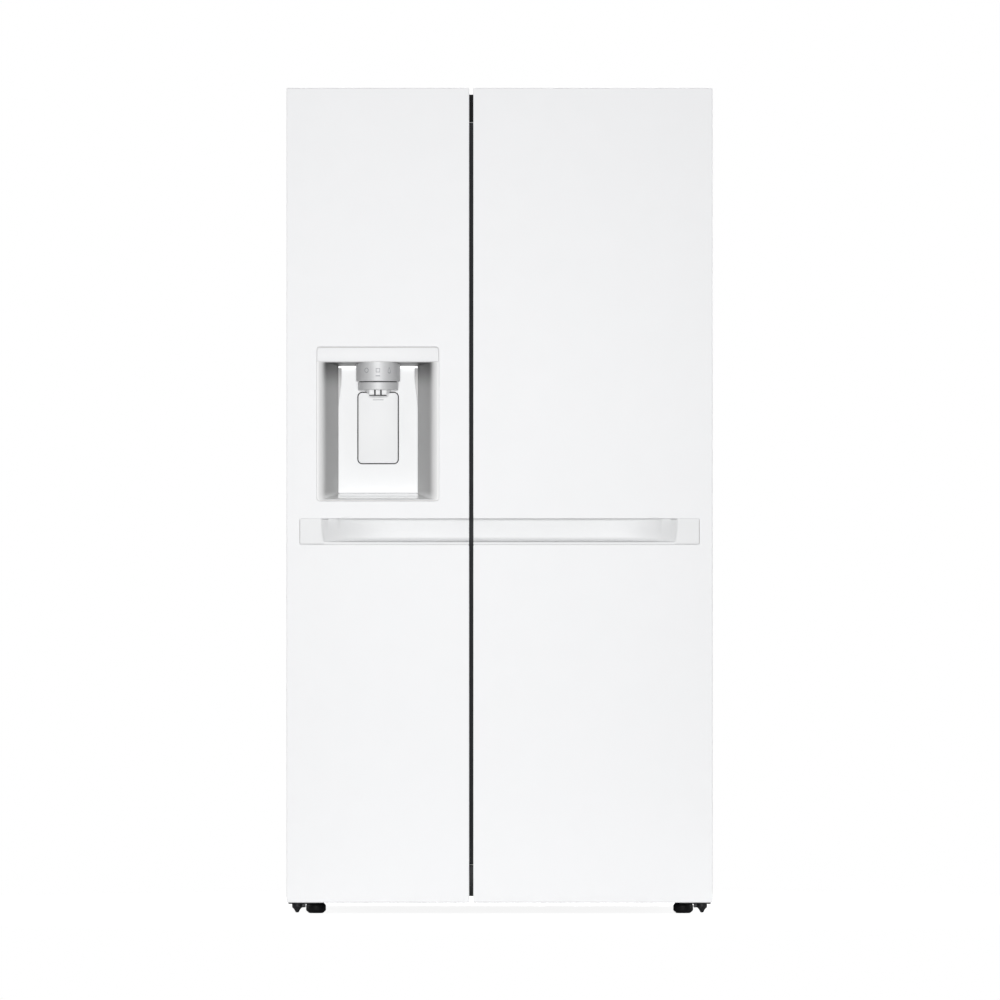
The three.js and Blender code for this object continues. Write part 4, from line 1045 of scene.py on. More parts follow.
place(dispenser_recess(), "freezer_door", "white_plastic", "dispenser_housing")
place(dispenser_back_plate(), "freezer_door", "white_plastic", "dispenser_housing")
place(dispenser_header(), "freezer_door", "door_paint", "dispenser_header")
place(spout_collar(), "freezer_door", "silver_trim", "dispenser_collar")
place(spout_ring(), "freezer_door", "silver_trim", "dispenser_spout")
place(touch_icons(), "freezer_door", "silver_trim")
place(paddle_plate(), "dispenser_paddle_body", "white_plastic", "dispenser_paddle")
place(sill_tray(), "freezer_door", "white_plastic", "drip_tray")
place(light_guide(), "freezer_door", "lamp_plastic", "dispenser_lamp")


# ---------------------------------------------------------------- door caps, backs, seals and bins

def block_plan(low, high, notch=None):
    """A door's plan as a rectangle, or with the hinge corner at its rear cut away."""
    (x0, y0), (x1, y1) = low, high
    if notch is None:
        return [(x0, y0), (x1, y0), (x1, y1), (x0, y1)]
    notch_x, notch_y = notch
    if notch_x > 0:
        return [(x0, y0), (x1, y0), (x1, notch_y), (notch_x, notch_y), (notch_x, y1), (x0, y1)]
    return [(x0, y0), (x1, y0), (x1, y1), (notch_x, y1), (notch_x, notch_y), (x0, notch_y)]


def prism(skin, corners, radius, low, high, edge, axis=2, material=0, steps=4):
    """An outline carried along an axis, with its edges rounded at both ends."""
    rings = [lifted(rounded_outline(corners, radius, edge * (1 - s), steps), low + edge * (1 - c), axis)
             for s, c in quarter(steps)]
    rings += [lifted(rounded_outline(corners, radius, edge * (1 - c), steps), high - edge * (1 - s), axis)
              for s, c in quarter(steps)]
    skin.loft(rings, cap_first=True, cap_last=True, material=material)


def door_cap(name, side, top):
    """The moulding that closes the painted sheet above or below; the top one is cut for the hinge arm."""
    node_low, node_high = span(name.replace("closure", "cap"))
    low, high = node_low.copy(), node_high.copy()
    low[0], high[0] = low[0] + 0.2 * MM, high[0] - 0.2 * MM
    low[1] += 3 * MM
    skin = Skin()
    if top:
        prism(skin, block_plan(low[:2], high[:2]), 1.5 * MM, low[2], NOTCH_Z, 0.6 * MM)
        notch = (side * NOTCH_X, FRONT_Y + 7.2 * MM)
        prism(skin, block_plan(low[:2], high[:2], notch), 1.5 * MM, NOTCH_Z - 0.5 * MM, high[2] - 0.8 * MM,
              0.6 * MM)
    else:
        prism(skin, block_plan(low[:2], high[:2]), 1.5 * MM, low[2] + 0.8 * MM, high[2], 0.6 * MM)
    return skin.build(name, [WHITE_MOULDING], sharp=50)


def frame_profile(depth):
    """Pairs of inset and rise across the raised frame on a door's back: fillet, wall, crest, wall, fillet."""
    foot, crest, width = 6 * MM, 5 * MM, 28 * MM
    pairs = [(-foot + foot * s, foot * (1 - c)) for s, c in quarter(4)]
    pairs += [(crest * (1 - c), depth - crest * (1 - s)) for s, c in quarter(6)]
    pairs += [(width - crest * (1 - s), depth - crest * (1 - c)) for s, c in quarter(6)]
    pairs += [(width + foot * (1 - c), foot * (1 - s)) for s, c in quarter(4)]
    return pairs


def door_back(name, node, bulge):
    """The inner door: a flat sheet whose raised frame is a profile carried round a rounded rectangle."""
    low, high = span(node)
    sheet_y = PANEL_REAR_Y + 2 * MM
    depth = high[1] - sheet_y - 0.3 * MM
    gap_side = 1 if name.startswith("freezer") else -1
    outside = -gap_side * 399 * MM
    inside_x = MULLION_LOW[0] - 14 * MM if gap_side > 0 else MULLION_HIGH[0] + 14 * MM
    xs = sorted([outside, inside_x])
    frame_low, frame_high = (xs[0], WINDOW_LOW_Z + 12 * MM), (xs[1], WINDOW_HIGH_Z - 12 * MM)
    skin = Skin()
    rings = [lifted(rectangle(low[[0, 2]], high[[0, 2]], 2 * MM, 0, 6), sheet_y - 2.3 * MM, 1),
             lifted(rectangle(low[[0, 2]], high[[0, 2]], 2 * MM, 0, 6), sheet_y - 0.8 * MM, 1),
             lifted(rectangle(low[[0, 2]], high[[0, 2]], 2 * MM, 0.8 * MM, 6), sheet_y, 1)]
    rings += [lifted(rectangle(frame_low, frame_high, 8 * MM, inset, 6), sheet_y + rise, 1)
              for inset, rise in frame_profile(depth)]
    skin.loft(rings, cap_last=True)
    if bulge:
        box_low, box_high = (-384 * MM, 859 * MM), (-126 * MM, 1261 * MM)
        rings = [lifted(rectangle(box_low, box_high, 8 * MM, inset, 6), sheet_y + rise - 0.3 * MM, 1)
                 for inset, rise in frame_profile(depth)[:12]]
        skin.loft(rings, cap_last=True)
    return skin.build(name, [INNER_LINER], sharp=50)


def bellows(name, node):
    """A magnetic seal: a folded section carried round the door's edge."""
    low, high = span(node)
    width, rise = 18 * MM, high[1] - low[1]
    half = [(0.0, 0.0), (0.2, 0.12), (1.9, 0.26), (0.4, 0.42), (0.3, 0.55), (1.6, 0.68), (0.2, 0.8),
            (0, 0.94), (0.6, 1.0)]
    section = [(inset * MM, rise * t) for inset, t in half]
    section += [(width - inset, y) for inset, y in section[::-1]]
    rings = [lifted(rectangle(low[[0, 2]], high[[0, 2]], 3 * MM, inset, 5), low[1] + y, 1)
             for inset, y in section + section[:1]]
    skin = Skin()
    skin.loft(rings)
    return skin.build(name, [SEAL_RUBBER], sharp=60)


def tub(skin, low, high, wall, corner, rim=1.6 * MM, foot=5 * MM, draft=0.0, dip=None, material=0):
    """An open tub: underside, rounded foot, drafted wall, rolled rim, inner wall and floor, carried
    round a rounded rectangle. dip(x, y) lowers the rim and may be different all the way round."""
    height = high[2] - low[2]
    section = [(foot + draft, 0.0, False)]
    section += [(foot * (1 - s) + draft, foot * (1 - c), False) for s, c in quarter(4)]
    section += [(rim * 0.4 * (1 - c), -rim * (1 - s), True) for s, c in quarter(4)]
    section += [(wall - rim * 0.4 * (1 - s), -rim * (1 - c), True) for s, c in quarter(4)]
    section += [(wall + draft + foot * 0.8 * (1 - c), wall + foot * 0.8 * (1 - s), False)
                for s, c in quarter(4)]
    rings = []
    for inset, rise, from_top in section:
        outline = rectangle(low[:2], high[:2], corner, inset, 6)
        ring = lifted(outline, low[2] + rise, 2)
        if from_top:
            drop = dip(outline[:, 0], outline[:, 1]) if dip else 0
            ring[:, 2] = low[2] + height + rise - drop
        rings.append(ring)
    skin.loft(rings, cap_first=True, cap_last=True, material=material)


def door_bin(name, node):
    """A clear bin whose inward wall is lower than its ends, with a thicker band along its rim."""
    low, high = span(node)
    fall = (high[2] - low[2]) * 0.3
    front = high[1] - 30 * MM

    def dip(_, y):
        """How far the rim falls, as a smooth step towards the inward wall."""
        return fall * smooth_step((y - (front - 25 * MM)) / (40 * MM))

    skin = Skin()
    tub(skin, low, high, 3 * MM, 12 * MM, draft=2 * MM, dip=dip)
    band_top = high[2] - fall
    soft_box(skin, (low[0] + 14 * MM, high[1] - 3.4 * MM, band_top - 16 * MM),
             (high[0] - 14 * MM, high[1] + 1.2 * MM, band_top - 2 * MM), 1.2 * MM, material=1)
    return skin.build(name, [CLEAR_PLASTIC, WHITE_MOULDING], sharp=45)


MULLION_LOW, MULLION_HIGH = span("mullion_strip")
WINDOW_LOW_Z, WINDOW_HIGH_Z = MULLION_LOW[2] - 0.3 * MM, MULLION_HIGH[2] + 0.3 * MM

for word, side in (("freezer", -1), ("fridge", 1)):
    body = word + "_door"
    place(door_cap(word + "_door_closure_top", side, True), body, "white_plastic", word + "_door_cap_top")
    place(door_cap(word + "_door_closure_bottom", side, False), body, "white_plastic",
          word + "_door_cap_bottom")
    place(door_back(word + "_door_back", word + "_door_liner", side < 0), body, "white_plastic",
          word + "_door_liner")
    place(bellows(word + "_door_seal", word + "_gasket"), body, "seal_rubber", word + "_gasket")
    for number in range(1, 3 if side < 0 else 4):
        node = f"{word}_door_bin_{number}"
        place(door_bin(node + "_tub", node), body, "clear_plastic", node)


# ---------------------------------------------------------------- cabinet

def pierced_sheet(skin, low, high, holes, plane, toward, corner=2 * MM, depth=1.5 * MM, hole_corner=3 * MM):
    """A flat sheet with rounded holes whose edges roll back through a quarter turn.

    plane(points, back) lifts (u, v) to 3-D, `back` metres behind the sheet's face.
    """
    loops = []
    for hole_low, hole_high in holes:
        rings = [plane(rectangle(hole_low, hole_high, hole_corner, -depth * (1 - s), 4), depth * (1 - c))
                 for s, c in quarter(3)]
        skin.loft([ring[::-1] for ring in rings])
        loops.append(rectangle(hole_low, hole_high, hole_corner, -depth, 4))
    skin.flat(rectangle(low, high, corner, depth, 4), loops, lambda p: plane(p, 0.0), toward)
    skin.loft([plane(rectangle(low, high, corner, depth * (1 - s), 4), depth * (1 - c))
               for s, c in quarter(3)])


def case_shell():
    """The painted wrap: an arch of sides and top carried from front to rear, and a front flange."""
    x, z0, z1 = CASE_HIGH[0], CASE_LOW[2], CASE_HIGH[2]
    roll, corner = 2 * MM, 5 * MM

    def arch(inset):
        """The outline of sides and top, moved inwards by a distance."""
        loop = rounded_outline([(x, z0), (x, z1), (-x, z1), (-x, z0)],
                               [1 * MM, corner, corner, 1 * MM], inset, 6)
        return loop[7:21]

    skin = Skin()
    rings = [lifted(arch(roll * (1 - s)), CASE_LOW[1] + roll * (1 - c), 1) for s, c in quarter(4)]
    rings += [lifted(arch(roll * (1 - c)), CASE_HIGH[1] - roll * (1 - s), 1) for s, c in quarter(4)]
    rings.append(lifted(arch(roll + 8 * MM), CASE_HIGH[1], 1))
    base = [(s * x, z0) for s in (1, -1)]
    skin.loft([np.concatenate([[feet(ring, base[0], z0)], ring, [feet(ring, base[1], z0)]])
               for ring in rings], closed=False)
    low, high = (-x + roll, RAIL_HIGH[2] + 0.5 * MM), (x - roll, z1 - roll)
    windows = [((-LINER_SIDE, WINDOW_LOW_Z), (MULLION_LOW[0], WINDOW_HIGH_Z)),
               ((MULLION_HIGH[0], WINDOW_LOW_Z), (LINER_SIDE, WINDOW_HIGH_Z))]
    loops = [rectangle(a, b, LINER_CORNER, 0, 8) for a, b in windows]
    skin.flat([low, (high[0], low[1]), high, (low[0], high[1])], loops,
              lambda p: lifted(p, CASE_LOW[1], 1), (0, -1, 0))
    for loop in loops:
        skin.loft([lifted(loop, CASE_LOW[1] + y, 1) for y in (0, 2 * MM)])
    return skin.build("case_wrap", [CASE_PAINT], sharp=40, outward=False)


def feet(ring, base, z0):
    """The ring's end carried straight down to the arch's foot."""
    end = ring[0] if base[0] > 0 else ring[-1]
    return [end[0], end[1], z0]


def compartment(name, x0, x1, ledges):
    """A liner: a rounded rectangle carried from the front to the rear, whose floor steps up over the
    machine room, closed by a back with rounded edges; ledges carry the shelves."""
    step_y, step_z = LINER_STEP
    rear, bend = LINER_REAR_Y, 18 * MM
    floor = [(LINER_FRONT_Y, WINDOW_LOW_Z), (step_y - bend, WINDOW_LOW_Z)]
    floor += [(step_y - bend + bend * s, WINDOW_LOW_Z + bend * (1 - c)) for s, c in quarter(6)]
    floor += [(step_y + bend * (1 - c), step_z - bend * (1 - s)) for s, c in quarter(6)]
    floor += [(rear - bend, step_z)]
    outline = lambda z, inset: rectangle((x0, z), (x1, WINDOW_HIGH_Z), LINER_CORNER, inset, 8)
    rings = [lifted(outline(z, 0), y, 1) for y, z in floor]
    rings += [lifted(outline(step_z, bend * (1 - c)), rear - bend + bend * s, 1) for s, c in quarter(6)]
    skin = Skin()
    skin.loft(rings, cap_last=True)
    for z in ledges:
        for wall_x, inner_x in ((x0, x0 + 8.5 * MM), (x1, x1 - 8.5 * MM)):
            soft_box(skin, (wall_x, SHELF_FRONT_Y + 12 * MM, z - 8 * MM),
                     (inner_x, SHELF_REAR_Y - 12 * MM, z - 0.6 * MM), 2.2 * MM)
    piece = skin.build(name, [INNER_LINER], sharp=50, outward=False)
    return piece


def rear_sheet():
    """The zinc sheet at the back: shallow pressed beads, depth * product of smooth steps, on a grid."""
    low, high = span("back_panel")
    x = np.linspace(low[0], high[0], 181)
    z = np.linspace(low[2], high[2], 241)
    gx, gz = np.meshgrid(x, z, indexing="ij")
    press = np.zeros_like(gx)
    for centre in (-0.3, 0.0, 0.3):
        across = smooth_step((0.115 - np.abs(gx - centre)) / 0.012)
        along = smooth_step((0.56 - np.abs(gz - 0.99)) / 0.012)
        inner = smooth_step((0.095 - np.abs(gx - centre)) / 0.012)
        inner = inner * smooth_step((0.54 - np.abs(gz - 0.99)) / 0.012)
        press = np.maximum(press, across * along - inner)
    y = high[1] - 0.1 * MM - 1.0 * MM * press
    skin = Skin()
    skin.patch(np.stack([gx, y, gz], -1), [f[::-1] for f in grid_faces(len(x), len(z), False)])
    return skin.build("rear_sheet", [ZINC_COAT], sharp=60, outward=False)


def screw(skin, place_at, axis, toward, radius=4 * MM, material=0):
    """A pan head screw: a domed lathe."""
    profile = [(radius, 0), (radius, 0.6 * MM)]
    profile += [(radius * c, (0.6 + 1.2 * s) * MM) for s, c in quarter(5)][1:]
    turned = [(max(r, 1e-7), toward * h) for r, h in profile]
    lathe(skin, turned, place_at, axis, 20, material)


def machine_room_cover():
    """The sheet over the machine room with three rows of air slots and a screw at each corner."""
    low, high = span("machine_cover")
    slots = [((x, z), (x + 60 * MM, z + 12 * MM))
             for x in np.arange(-0.38, 0.4, 0.1) for z in (0.11, 0.16, 0.21)]
    slots = [slot for slot in slots if slot[1][0] < 0.44]
    skin = Skin()
    pierced_sheet(skin, low[[0, 2]], high[[0, 2]], slots,
                  lambda p, back: lifted(p, high[1] - 1.9 * MM - back, 1), (0, 1, 0), hole_corner=5 * MM)
    for x in (low[0] + 12 * MM, 0.0, high[0] - 12 * MM):
        for z in (low[2] + 10 * MM, high[2] - 12 * MM):
            screw(skin, (x, high[1] - 1.9 * MM, z), 1, 1, material=1)
    return skin.build("machine_room_cover", [DARK_PAINT, ZINC_COAT], sharp=40, outward=False)


def hinge_cover():
    """The black cover along the cabinet's top edge, open below, with a grommet round each hinge arm."""
    low, high = span("top_cover")
    skin = Skin()
    rings = [lifted(rectangle(low[:2], high[:2], 5 * MM, 0, 6), low[2], 2)]
    rings += [lifted(rectangle(low[:2], high[:2], 5 * MM, 3 * MM * (1 - c), 6), high[2] - 3 * MM * (1 - s), 2)
              for s, c in quarter(5)]
    skin.loft(rings, cap_last=True)
    for side in (-1, 1):
        soft_box(skin, (side * 0.434 - 18 * MM, low[1] - 0.3 * MM, 1740 * MM),
                 (side * 0.434 + 18 * MM, low[1] + 2 * MM, 1753.5 * MM), 0.6 * MM, 3 * MM, 1, material=1)
        for x in (side * 0.30, side * 0.1):
            screw(skin, (x, (low[1] + high[1]) / 2, high[2] - 0.2 * MM), 2, 1, 4 * MM, 2)
    return skin.build("hinge_cover", [BLACK_MOULDING, BLACK_RUBBER, ZINC_COAT], sharp=50)


def base_rail():
    """The folded front rail, the tray behind it, the roller forks and their axles, and the fan's post."""
    low, high = span("base_frame")
    skin = Skin()
    rail_y = -245 * MM
    rail_top = high[2] if high[2] < 0.11 else RAIL_TOP_Z
    soft_box(skin, (low[0], low[1], 37 * MM), (high[0], low[1] + 3 * MM, rail_top), 1 * MM)
    soft_box(skin, (low[0], low[1] + 0.2 * MM, RAIL_TOP_Z - 3 * MM), (high[0], rail_y, RAIL_TOP_Z), 1 * MM)
    soft_box(skin, (low[0], low[1] + 0.4 * MM, 37 * MM), (high[0], high[1], 45 * MM), 1 * MM)
    for side in (-1, 1):
        x = side * FOOT_X
        lathe(skin, [(5.4 * MM, 45 * MM), (14 * MM, 45 * MM), (14 * MM, 100 * MM), (5.4 * MM, 100 * MM)],
              (x, FOOT_Y, 0), segments=32)
        for offset in (-16 * MM, 12 * MM):
            plan = [(ROLLER_Y - 11 * MM, 8.5 * MM), (ROLLER_Y + 11 * MM, 8.5 * MM),
                    (ROLLER_Y + 11 * MM, 44 * MM), (ROLLER_Y - 11 * MM, 44 * MM)]
            prism(skin, plan, 5 * MM, x + offset, x + offset + 4 * MM, 0.6 * MM, axis=0)
        lathe(skin, [(4 * MM, -13.5 * MM), (4 * MM, 13.5 * MM)], (x, ROLLER_Y, ROLLER_Z), 0, 24)
    fan_low, fan_high = span("condenser_fan")
    hub_y, hub_z = CONDENSER_FAN
    soft_box(skin, (fan_high[0] + 4 * MM, hub_y - 10 * MM, 44 * MM),
             (fan_high[0] + 9 * MM, hub_y + 10 * MM, hub_z + 12 * MM), 1 * MM)
    lathe(skin, [(4 * MM, fan_low[0] - 3 * MM), (4 * MM, fan_high[0] + 5 * MM)], (0, hub_y, hub_z), 0, 24)
    return skin.build("base_rail", [DARK_PAINT], sharp=40)


def foot_and_stem(name, x):
    """A levelling foot: a cup with a rounded shoulder and a bevelled sole on a threaded stem."""
    skin = Skin()
    profile = [(1e-7, 0.0), (14.0, 0.0), (15.4, 0.6), (20.4, 5.0), (21.3, 6.6), (21.3, 15.6)]
    profile += [(21.3 - 5.8 * (1 - c), 15.7 + 5.8 * s) for s, c in quarter(6)]
    profile += [(5.0, 21.5)]
    for turn in range(30):
        z = 22 + turn * 2.2
        profile += [(5.0, z), (4.3, z + 1.1)]
    profile += [(4.8, 88), (1e-7, 88)]
    lathe(skin, np.array(profile) * MM, (x, FOOT_Y, 0), segments=48)
    return skin.build(name, [BLACK_MOULDING], sharp=35)


def roller(name, low, high):
    """A rear roller with a crowned tread and dished sides about its bore."""
    skin = Skin()
    r, half = (high[2] - low[2]) / 2, (high[0] - low[0]) / 2
    centre = (low + high) / 2
    bore = 4.3 * MM
    profile = [(bore, -half), (8 * MM, -half), (9 * MM, -half + 2 * MM), (r - 4 * MM, -half + 2 * MM),
               (r - 3 * MM, -half)]
    profile += [(r - 2 * MM * (1 - s), -half + 2 * MM * (1 - c)) for s, c in quarter(4)]
    profile += [(radius, -h) for radius, h in profile[::-1]]
    lathe(skin, profile + profile[:1], centre, 0, 48)
    return skin.build(name, [BLACK_RUBBER], sharp=45, outward=True)


def upper_hinge(name, side):
    """A steel foot, a riser and an arm whose end is a half round eye, over a turned pin."""
    x, y = side * 434 * MM, -327.5 * MM
    skin = Skin()
    soft_box(skin, (x - 15 * MM, -267 * MM, 1699.3 * MM), (x + 15 * MM, -200 * MM, 1704 * MM), 1 * MM)
    soft_box(skin, (x - 15 * MM, -267 * MM, 1700 * MM), (x + 15 * MM, -262 * MM, 1748.8 * MM), 1 * MM)
    angle = np.linspace(math.pi, TAU, 17)
    eye = np.stack([x + 15 * MM * np.cos(angle), y + 15 * MM * np.sin(angle)], 1)
    plan = np.concatenate([eye, [(x + 15 * MM, -262 * MM), (x - 15 * MM, -262 * MM)]])
    skin.loft([lifted(plan, z, 2) for z in (1744 * MM, 1749 * MM)], cap_first=True, cap_last=True)
    lathe(skin, [(1e-7, 1724 * MM), (4.8 * MM, 1724 * MM), (6 * MM, 1725.4 * MM), (6 * MM, 1744 * MM)],
          (x, y, 0), segments=32)
    lathe(skin, [(8 * MM, 1749 * MM), (7.6 * MM, 1750.6 * MM), (1e-7, 1751 * MM)], (x, y, 0), segments=32)
    for screw_y in (-245 * MM, -218 * MM):
        screw(skin, (x, screw_y, 1704 * MM), 2, 1, 5 * MM)
    return skin.build(name, [ZINC_COAT], sharp=40)


def lower_hinge(name, side):
    """A plate under the door with a riser on the cabinet, a pin, and a nut with a tapered adjuster."""
    x, y = side * 434 * MM, -327.5 * MM
    skin = Skin()
    soft_box(skin, (side * 385 * MM, y - 14 * MM, 21.6 * MM), (side * 453 * MM, -287.5 * MM, 24.6 * MM),
             0.8 * MM, 6 * MM)
    soft_box(skin, (side * 385 * MM, -290.4 * MM, 22 * MM), (side * 453 * MM, -287.5 * MM, 80 * MM),
             0.8 * MM, 4 * MM, 1)
    lathe(skin, [(6 * MM, 24 * MM), (6 * MM, 42.6 * MM), (4.8 * MM, 43.6 * MM), (1e-7, 43.6 * MM)],
          (x, y, 0), segments=32)
    lathe(skin, [(1e-7, 3 * MM), (2.4 * MM, 3 * MM), (3.2 * MM, 3.8 * MM), (7.4 * MM, 11 * MM),
                 (10.4 * MM, 13.6 * MM), (11 * MM, 15 * MM), (11 * MM, 21.8 * MM)], (x, y, 0), segments=36)
    soft_box(skin, (side * 416 * MM, y - 11 * MM, 14 * MM), (side * 424 * MM, y + 11 * MM, 22.4 * MM), 1 * MM)
    for screw_x in (396, 424, 444):
        screw(skin, (side * screw_x * MM, -290.3 * MM, 62 * MM), 1, -1, 3.5 * MM)
    return skin.build(name, [DARK_PAINT], sharp=40)


FOOT_LOW, FOOT_HIGH = span("leveling_foot_right")
FOOT_X, FOOT_Y = (FOOT_LOW[0] + FOOT_HIGH[0]) / 2, (FOOT_LOW[1] + FOOT_HIGH[1]) / 2
ROLLER_LOW, ROLLER_HIGH = span("rear_roller_right")
ROLLER_Y, ROLLER_Z = (ROLLER_LOW[1] + ROLLER_HIGH[1]) / 2, (ROLLER_LOW[2] + ROLLER_HIGH[2]) / 2
RAIL_LOW, RAIL_HIGH = span("base_frame")
RAIL_TOP_Z = 103.7 * MM
RAIL_HIGH[2] = RAIL_TOP_Z
CABINET_LINER_LOW, CABINET_LINER_HIGH = span("fridge_liner")
LINER_SIDE = CABINET_LINER_HIGH[0] - 2 * MM
LINER_FRONT_Y = CABINET_LINER_LOW[1]
LINER_REAR_Y = CABINET_LINER_HIGH[1] - 2 * MM
LINER_STEP = (130 * MM, 330 * MM)
LINER_CORNER = 12 * MM
SHELF_LOW, SHELF_HIGH = span("fridge_shelf_lower")
SHELF_FRONT_Y, SHELF_REAR_Y = SHELF_LOW[1], SHELF_HIGH[1]

place(case_shell(), "cabinet", "case_paint", "outer_case")
place(rear_sheet(), "cabinet", "zinc_steel", "back_panel")
place(machine_room_cover(), "cabinet", "dark_steel", "machine_cover")
place(hinge_cover(), "cabinet", "black_plastic", "top_cover")
place(base_rail(), "cabinet", "dark_steel", "base_frame")
place(compartment("freezer_compartment", -LINER_SIDE, MULLION_LOW[0], (0.344, 0.58, 1.29)), "cabinet",
      "white_plastic", "freezer_liner")
place(compartment("fridge_compartment", MULLION_HIGH[0], LINER_SIDE, (0.344, 0.57, 0.88, 1.23)), "cabinet",
      "white_plastic", "fridge_liner")
for word, side in (("left", -1), ("right", 1)):
    place(upper_hinge(f"upper_hinge_arm_{word}", side), "cabinet", "zinc_steel", f"upper_hinge_{word}")
    place(lower_hinge(f"lower_hinge_plate_{word}", side), "cabinet", "dark_steel", f"lower_hinge_{word}")
    place(foot_and_stem(f"foot_{word}", side * FOOT_X), f"leveling_foot_{word}_body", "black_plastic",
          f"leveling_foot_{word}")
    place(roller(f"roller_{word}", *span(f"rear_roller_{word}")), f"rear_roller_{word}_body", "roller_rubber",
          f"rear_roller_{word}")
# the mullion plate is dark paint carried the full height of the front, also serving as painted shade for the
# door gap
divider = Skin()
soft_box(divider, (MULLION_LOW[0] + 0.5 * MM, MULLION_LOW[1] - 0.3 * MM, RAIL_TOP_Z + 1 * MM),
         (MULLION_HIGH[0] - 0.5 * MM, MULLION_HIGH[1], CASE_HIGH[2] - 1.6 * MM), 0.5 * MM)
place(divider.build("mullion_plate", [MULLION_PAINT_AND_GAP_SHADE], sharp=50), "cabinet", "dark_steel", "mullion_strip")


# ---------------------------------------------------------------- inside

def glass_shelf(name, node):
    """A sheet of glass held by a white front trim and a rear trim."""
    low, high = span(node)
    glass_z = low[2] + 6 * MM
    skin = Skin()
    soft_box(skin, (low[0], low[1] + 5 * MM, glass_z), (high[0], high[1] - 2 * MM, glass_z + 5 * MM),
             0.7 * MM)
    soft_box(skin, (low[0], low[1], low[2]), (high[0], low[1] + 10 * MM, high[2]), 3.2 * MM, axis=0,
             material=1)
    soft_box(skin, (low[0], high[1] - 9 * MM, glass_z - 4 * MM), (high[0], high[1], glass_z + 7 * MM),
             2.2 * MM, axis=0, material=1)
    return skin.build(name, [SHELF_GLASS, WHITE_MOULDING], sharp=50)


def pull_drawer(name, node):
    """A drafted tub with a thick front plate that carries a finger groove under its top edge."""
    low, high = span(node)
    skin = Skin()
    tub(skin, low + np.array([0, 6 * MM, 0]), high - np.array([0, 0, 12 * MM]), 3 * MM, 10 * MM,
        draft=2.5 * MM)
    face_y, thick = low[1], 8 * MM
    front = lambda p, back: lifted(p, face_y + back, 1)
    groove_low, groove_high = (low[0] + 60 * MM, high[2] - 40 * MM), (high[0] - 60 * MM, high[2] - 16 * MM)
    pierced_sheet(skin, low[[0, 2]], high[[0, 2]], [(groove_low, groove_high)], front, (0, -1, 0),
                  corner=6 * MM, depth=2 * MM, hole_corner=9 * MM)
    inner = rectangle(groove_low, groove_high, 9 * MM, 0, 4)
    skin.loft([front(inner, back)[::-1] for back in (2 * MM, 5 * MM)], cap_last=True)
    edge = rectangle(low[[0, 2]], high[[0, 2]], 6 * MM, 0, 4)
    skin.loft([front(edge, back) for back in (2 * MM, thick)], cap_last=True)
    return skin.build(name, [CLEAR_PLASTIC], sharp=45)


def ice_tray_unit():
    """The ice maker: a white housing, a tray of cups in its top and a bracket to the rear wall."""
    low, high = span("ice_maker")
    skin = Skin()
    tub(skin, low, np.array([high[0], 200 * MM, high[2]]), 8 * MM, 14 * MM, foot=8 * MM, draft=3 * MM)
    tray_low, tray_high = (low[0] + 20 * MM, low[1] + 20 * MM), (high[0] - 20 * MM, 180 * MM)
    columns, rows = 3, 4
    cup = np.array([(tray_high[0] - tray_low[0]) / columns, (tray_high[1] - tray_low[1]) / rows])
    for i in range(columns):
        for j in range(rows):
            corner_low = np.array(tray_low) + cup * (i, j) + 3 * MM
            corner_high = corner_low + cup - 6 * MM
            tub(skin, np.array([*corner_low, high[2] - 40 * MM]), np.array([*corner_high, high[2] - 10 * MM]),
                1.5 * MM, 8 * MM, foot=6 * MM, draft=4 * MM, material=1)
    soft_box(skin, (-300 * MM, 196 * MM, 1520 * MM), (-170 * MM, high[1], 1580 * MM), 2 * MM)
    return skin.build("ice_tray_unit", [WHITE_MOULDING, INNER_LINER], sharp=45)


def wall_panel(name, node, holes, depth, material, extra=None):
    """A moulded panel in front of a compartment's rear wall: pierced face and side lips."""
    low, high = span(node)
    skin = Skin()
    face = lambda p, back: lifted(p, low[1] + back, 1)
    pierced_sheet(skin, low[[0, 2]], high[[0, 2]], holes, face, (0, -1, 0), corner=5 * MM, depth=2 * MM,
                  hole_corner=4.5 * MM)
    edge = rectangle(low[[0, 2]], high[[0, 2]], 5 * MM, 0, 4)
    skin.loft([face(edge, back) for back in (2 * MM, depth)])
    if extra:
        extra(skin)
    return skin.build(name, [material, WHITE_MOULDING], sharp=45, outward=False)


def fan(name, node, axis, middle, tip, hub, blades, bore):
    """Blades as grids of radius and chord, pitched and cambered, round a lathed hub. The wheel is
    centred on its shaft, whose other two coordinates are `middle`."""
    low, high = span(node)
    half = (high[axis] - low[axis]) / 2
    centre = np.insert(middle, axis, (low[axis] + high[axis]) / 2)
    skin = Skin()
    lathe(skin, [(bore, -half), (hub - 1.5 * MM, -half), (hub, -half + 1.5 * MM), (hub, half - 1.5 * MM),
                 (hub - 1.5 * MM, half), (bore, half), (bore, -half)], centre, axis, 40)
    radius, chord = np.meshgrid(np.linspace(hub * 0.9, tip, 9), np.linspace(-1, 1, 9), indexing="ij")
    share = (radius - hub) / (tip - hub)
    width = (0.42 + 0.14 * share) * TAU / blades * 1.1
    for blade in range(blades):
        angle = blade * TAU / blades + chord * width / 2 + 0.25 * share
        rise = half * 0.86 * chord * (1 - 0.35 * share) + 1.2 * MM * (1 - chord ** 2)
        u, v = radius * np.cos(angle), radius * np.sin(angle)
        flat = np.stack([u, v], -1)
        points = np.insert(flat, axis, rise, axis=-1) + centre
        skin.patch(points, grid_faces(9, 9, False))
        skin.patch(points + np.insert(np.zeros(2), axis, 1.2 * MM),
                   [f[::-1] for f in grid_faces(9, 9, False)])
    return skin.build(name, [BLACK_MOULDING], sharp=50, outward=False)


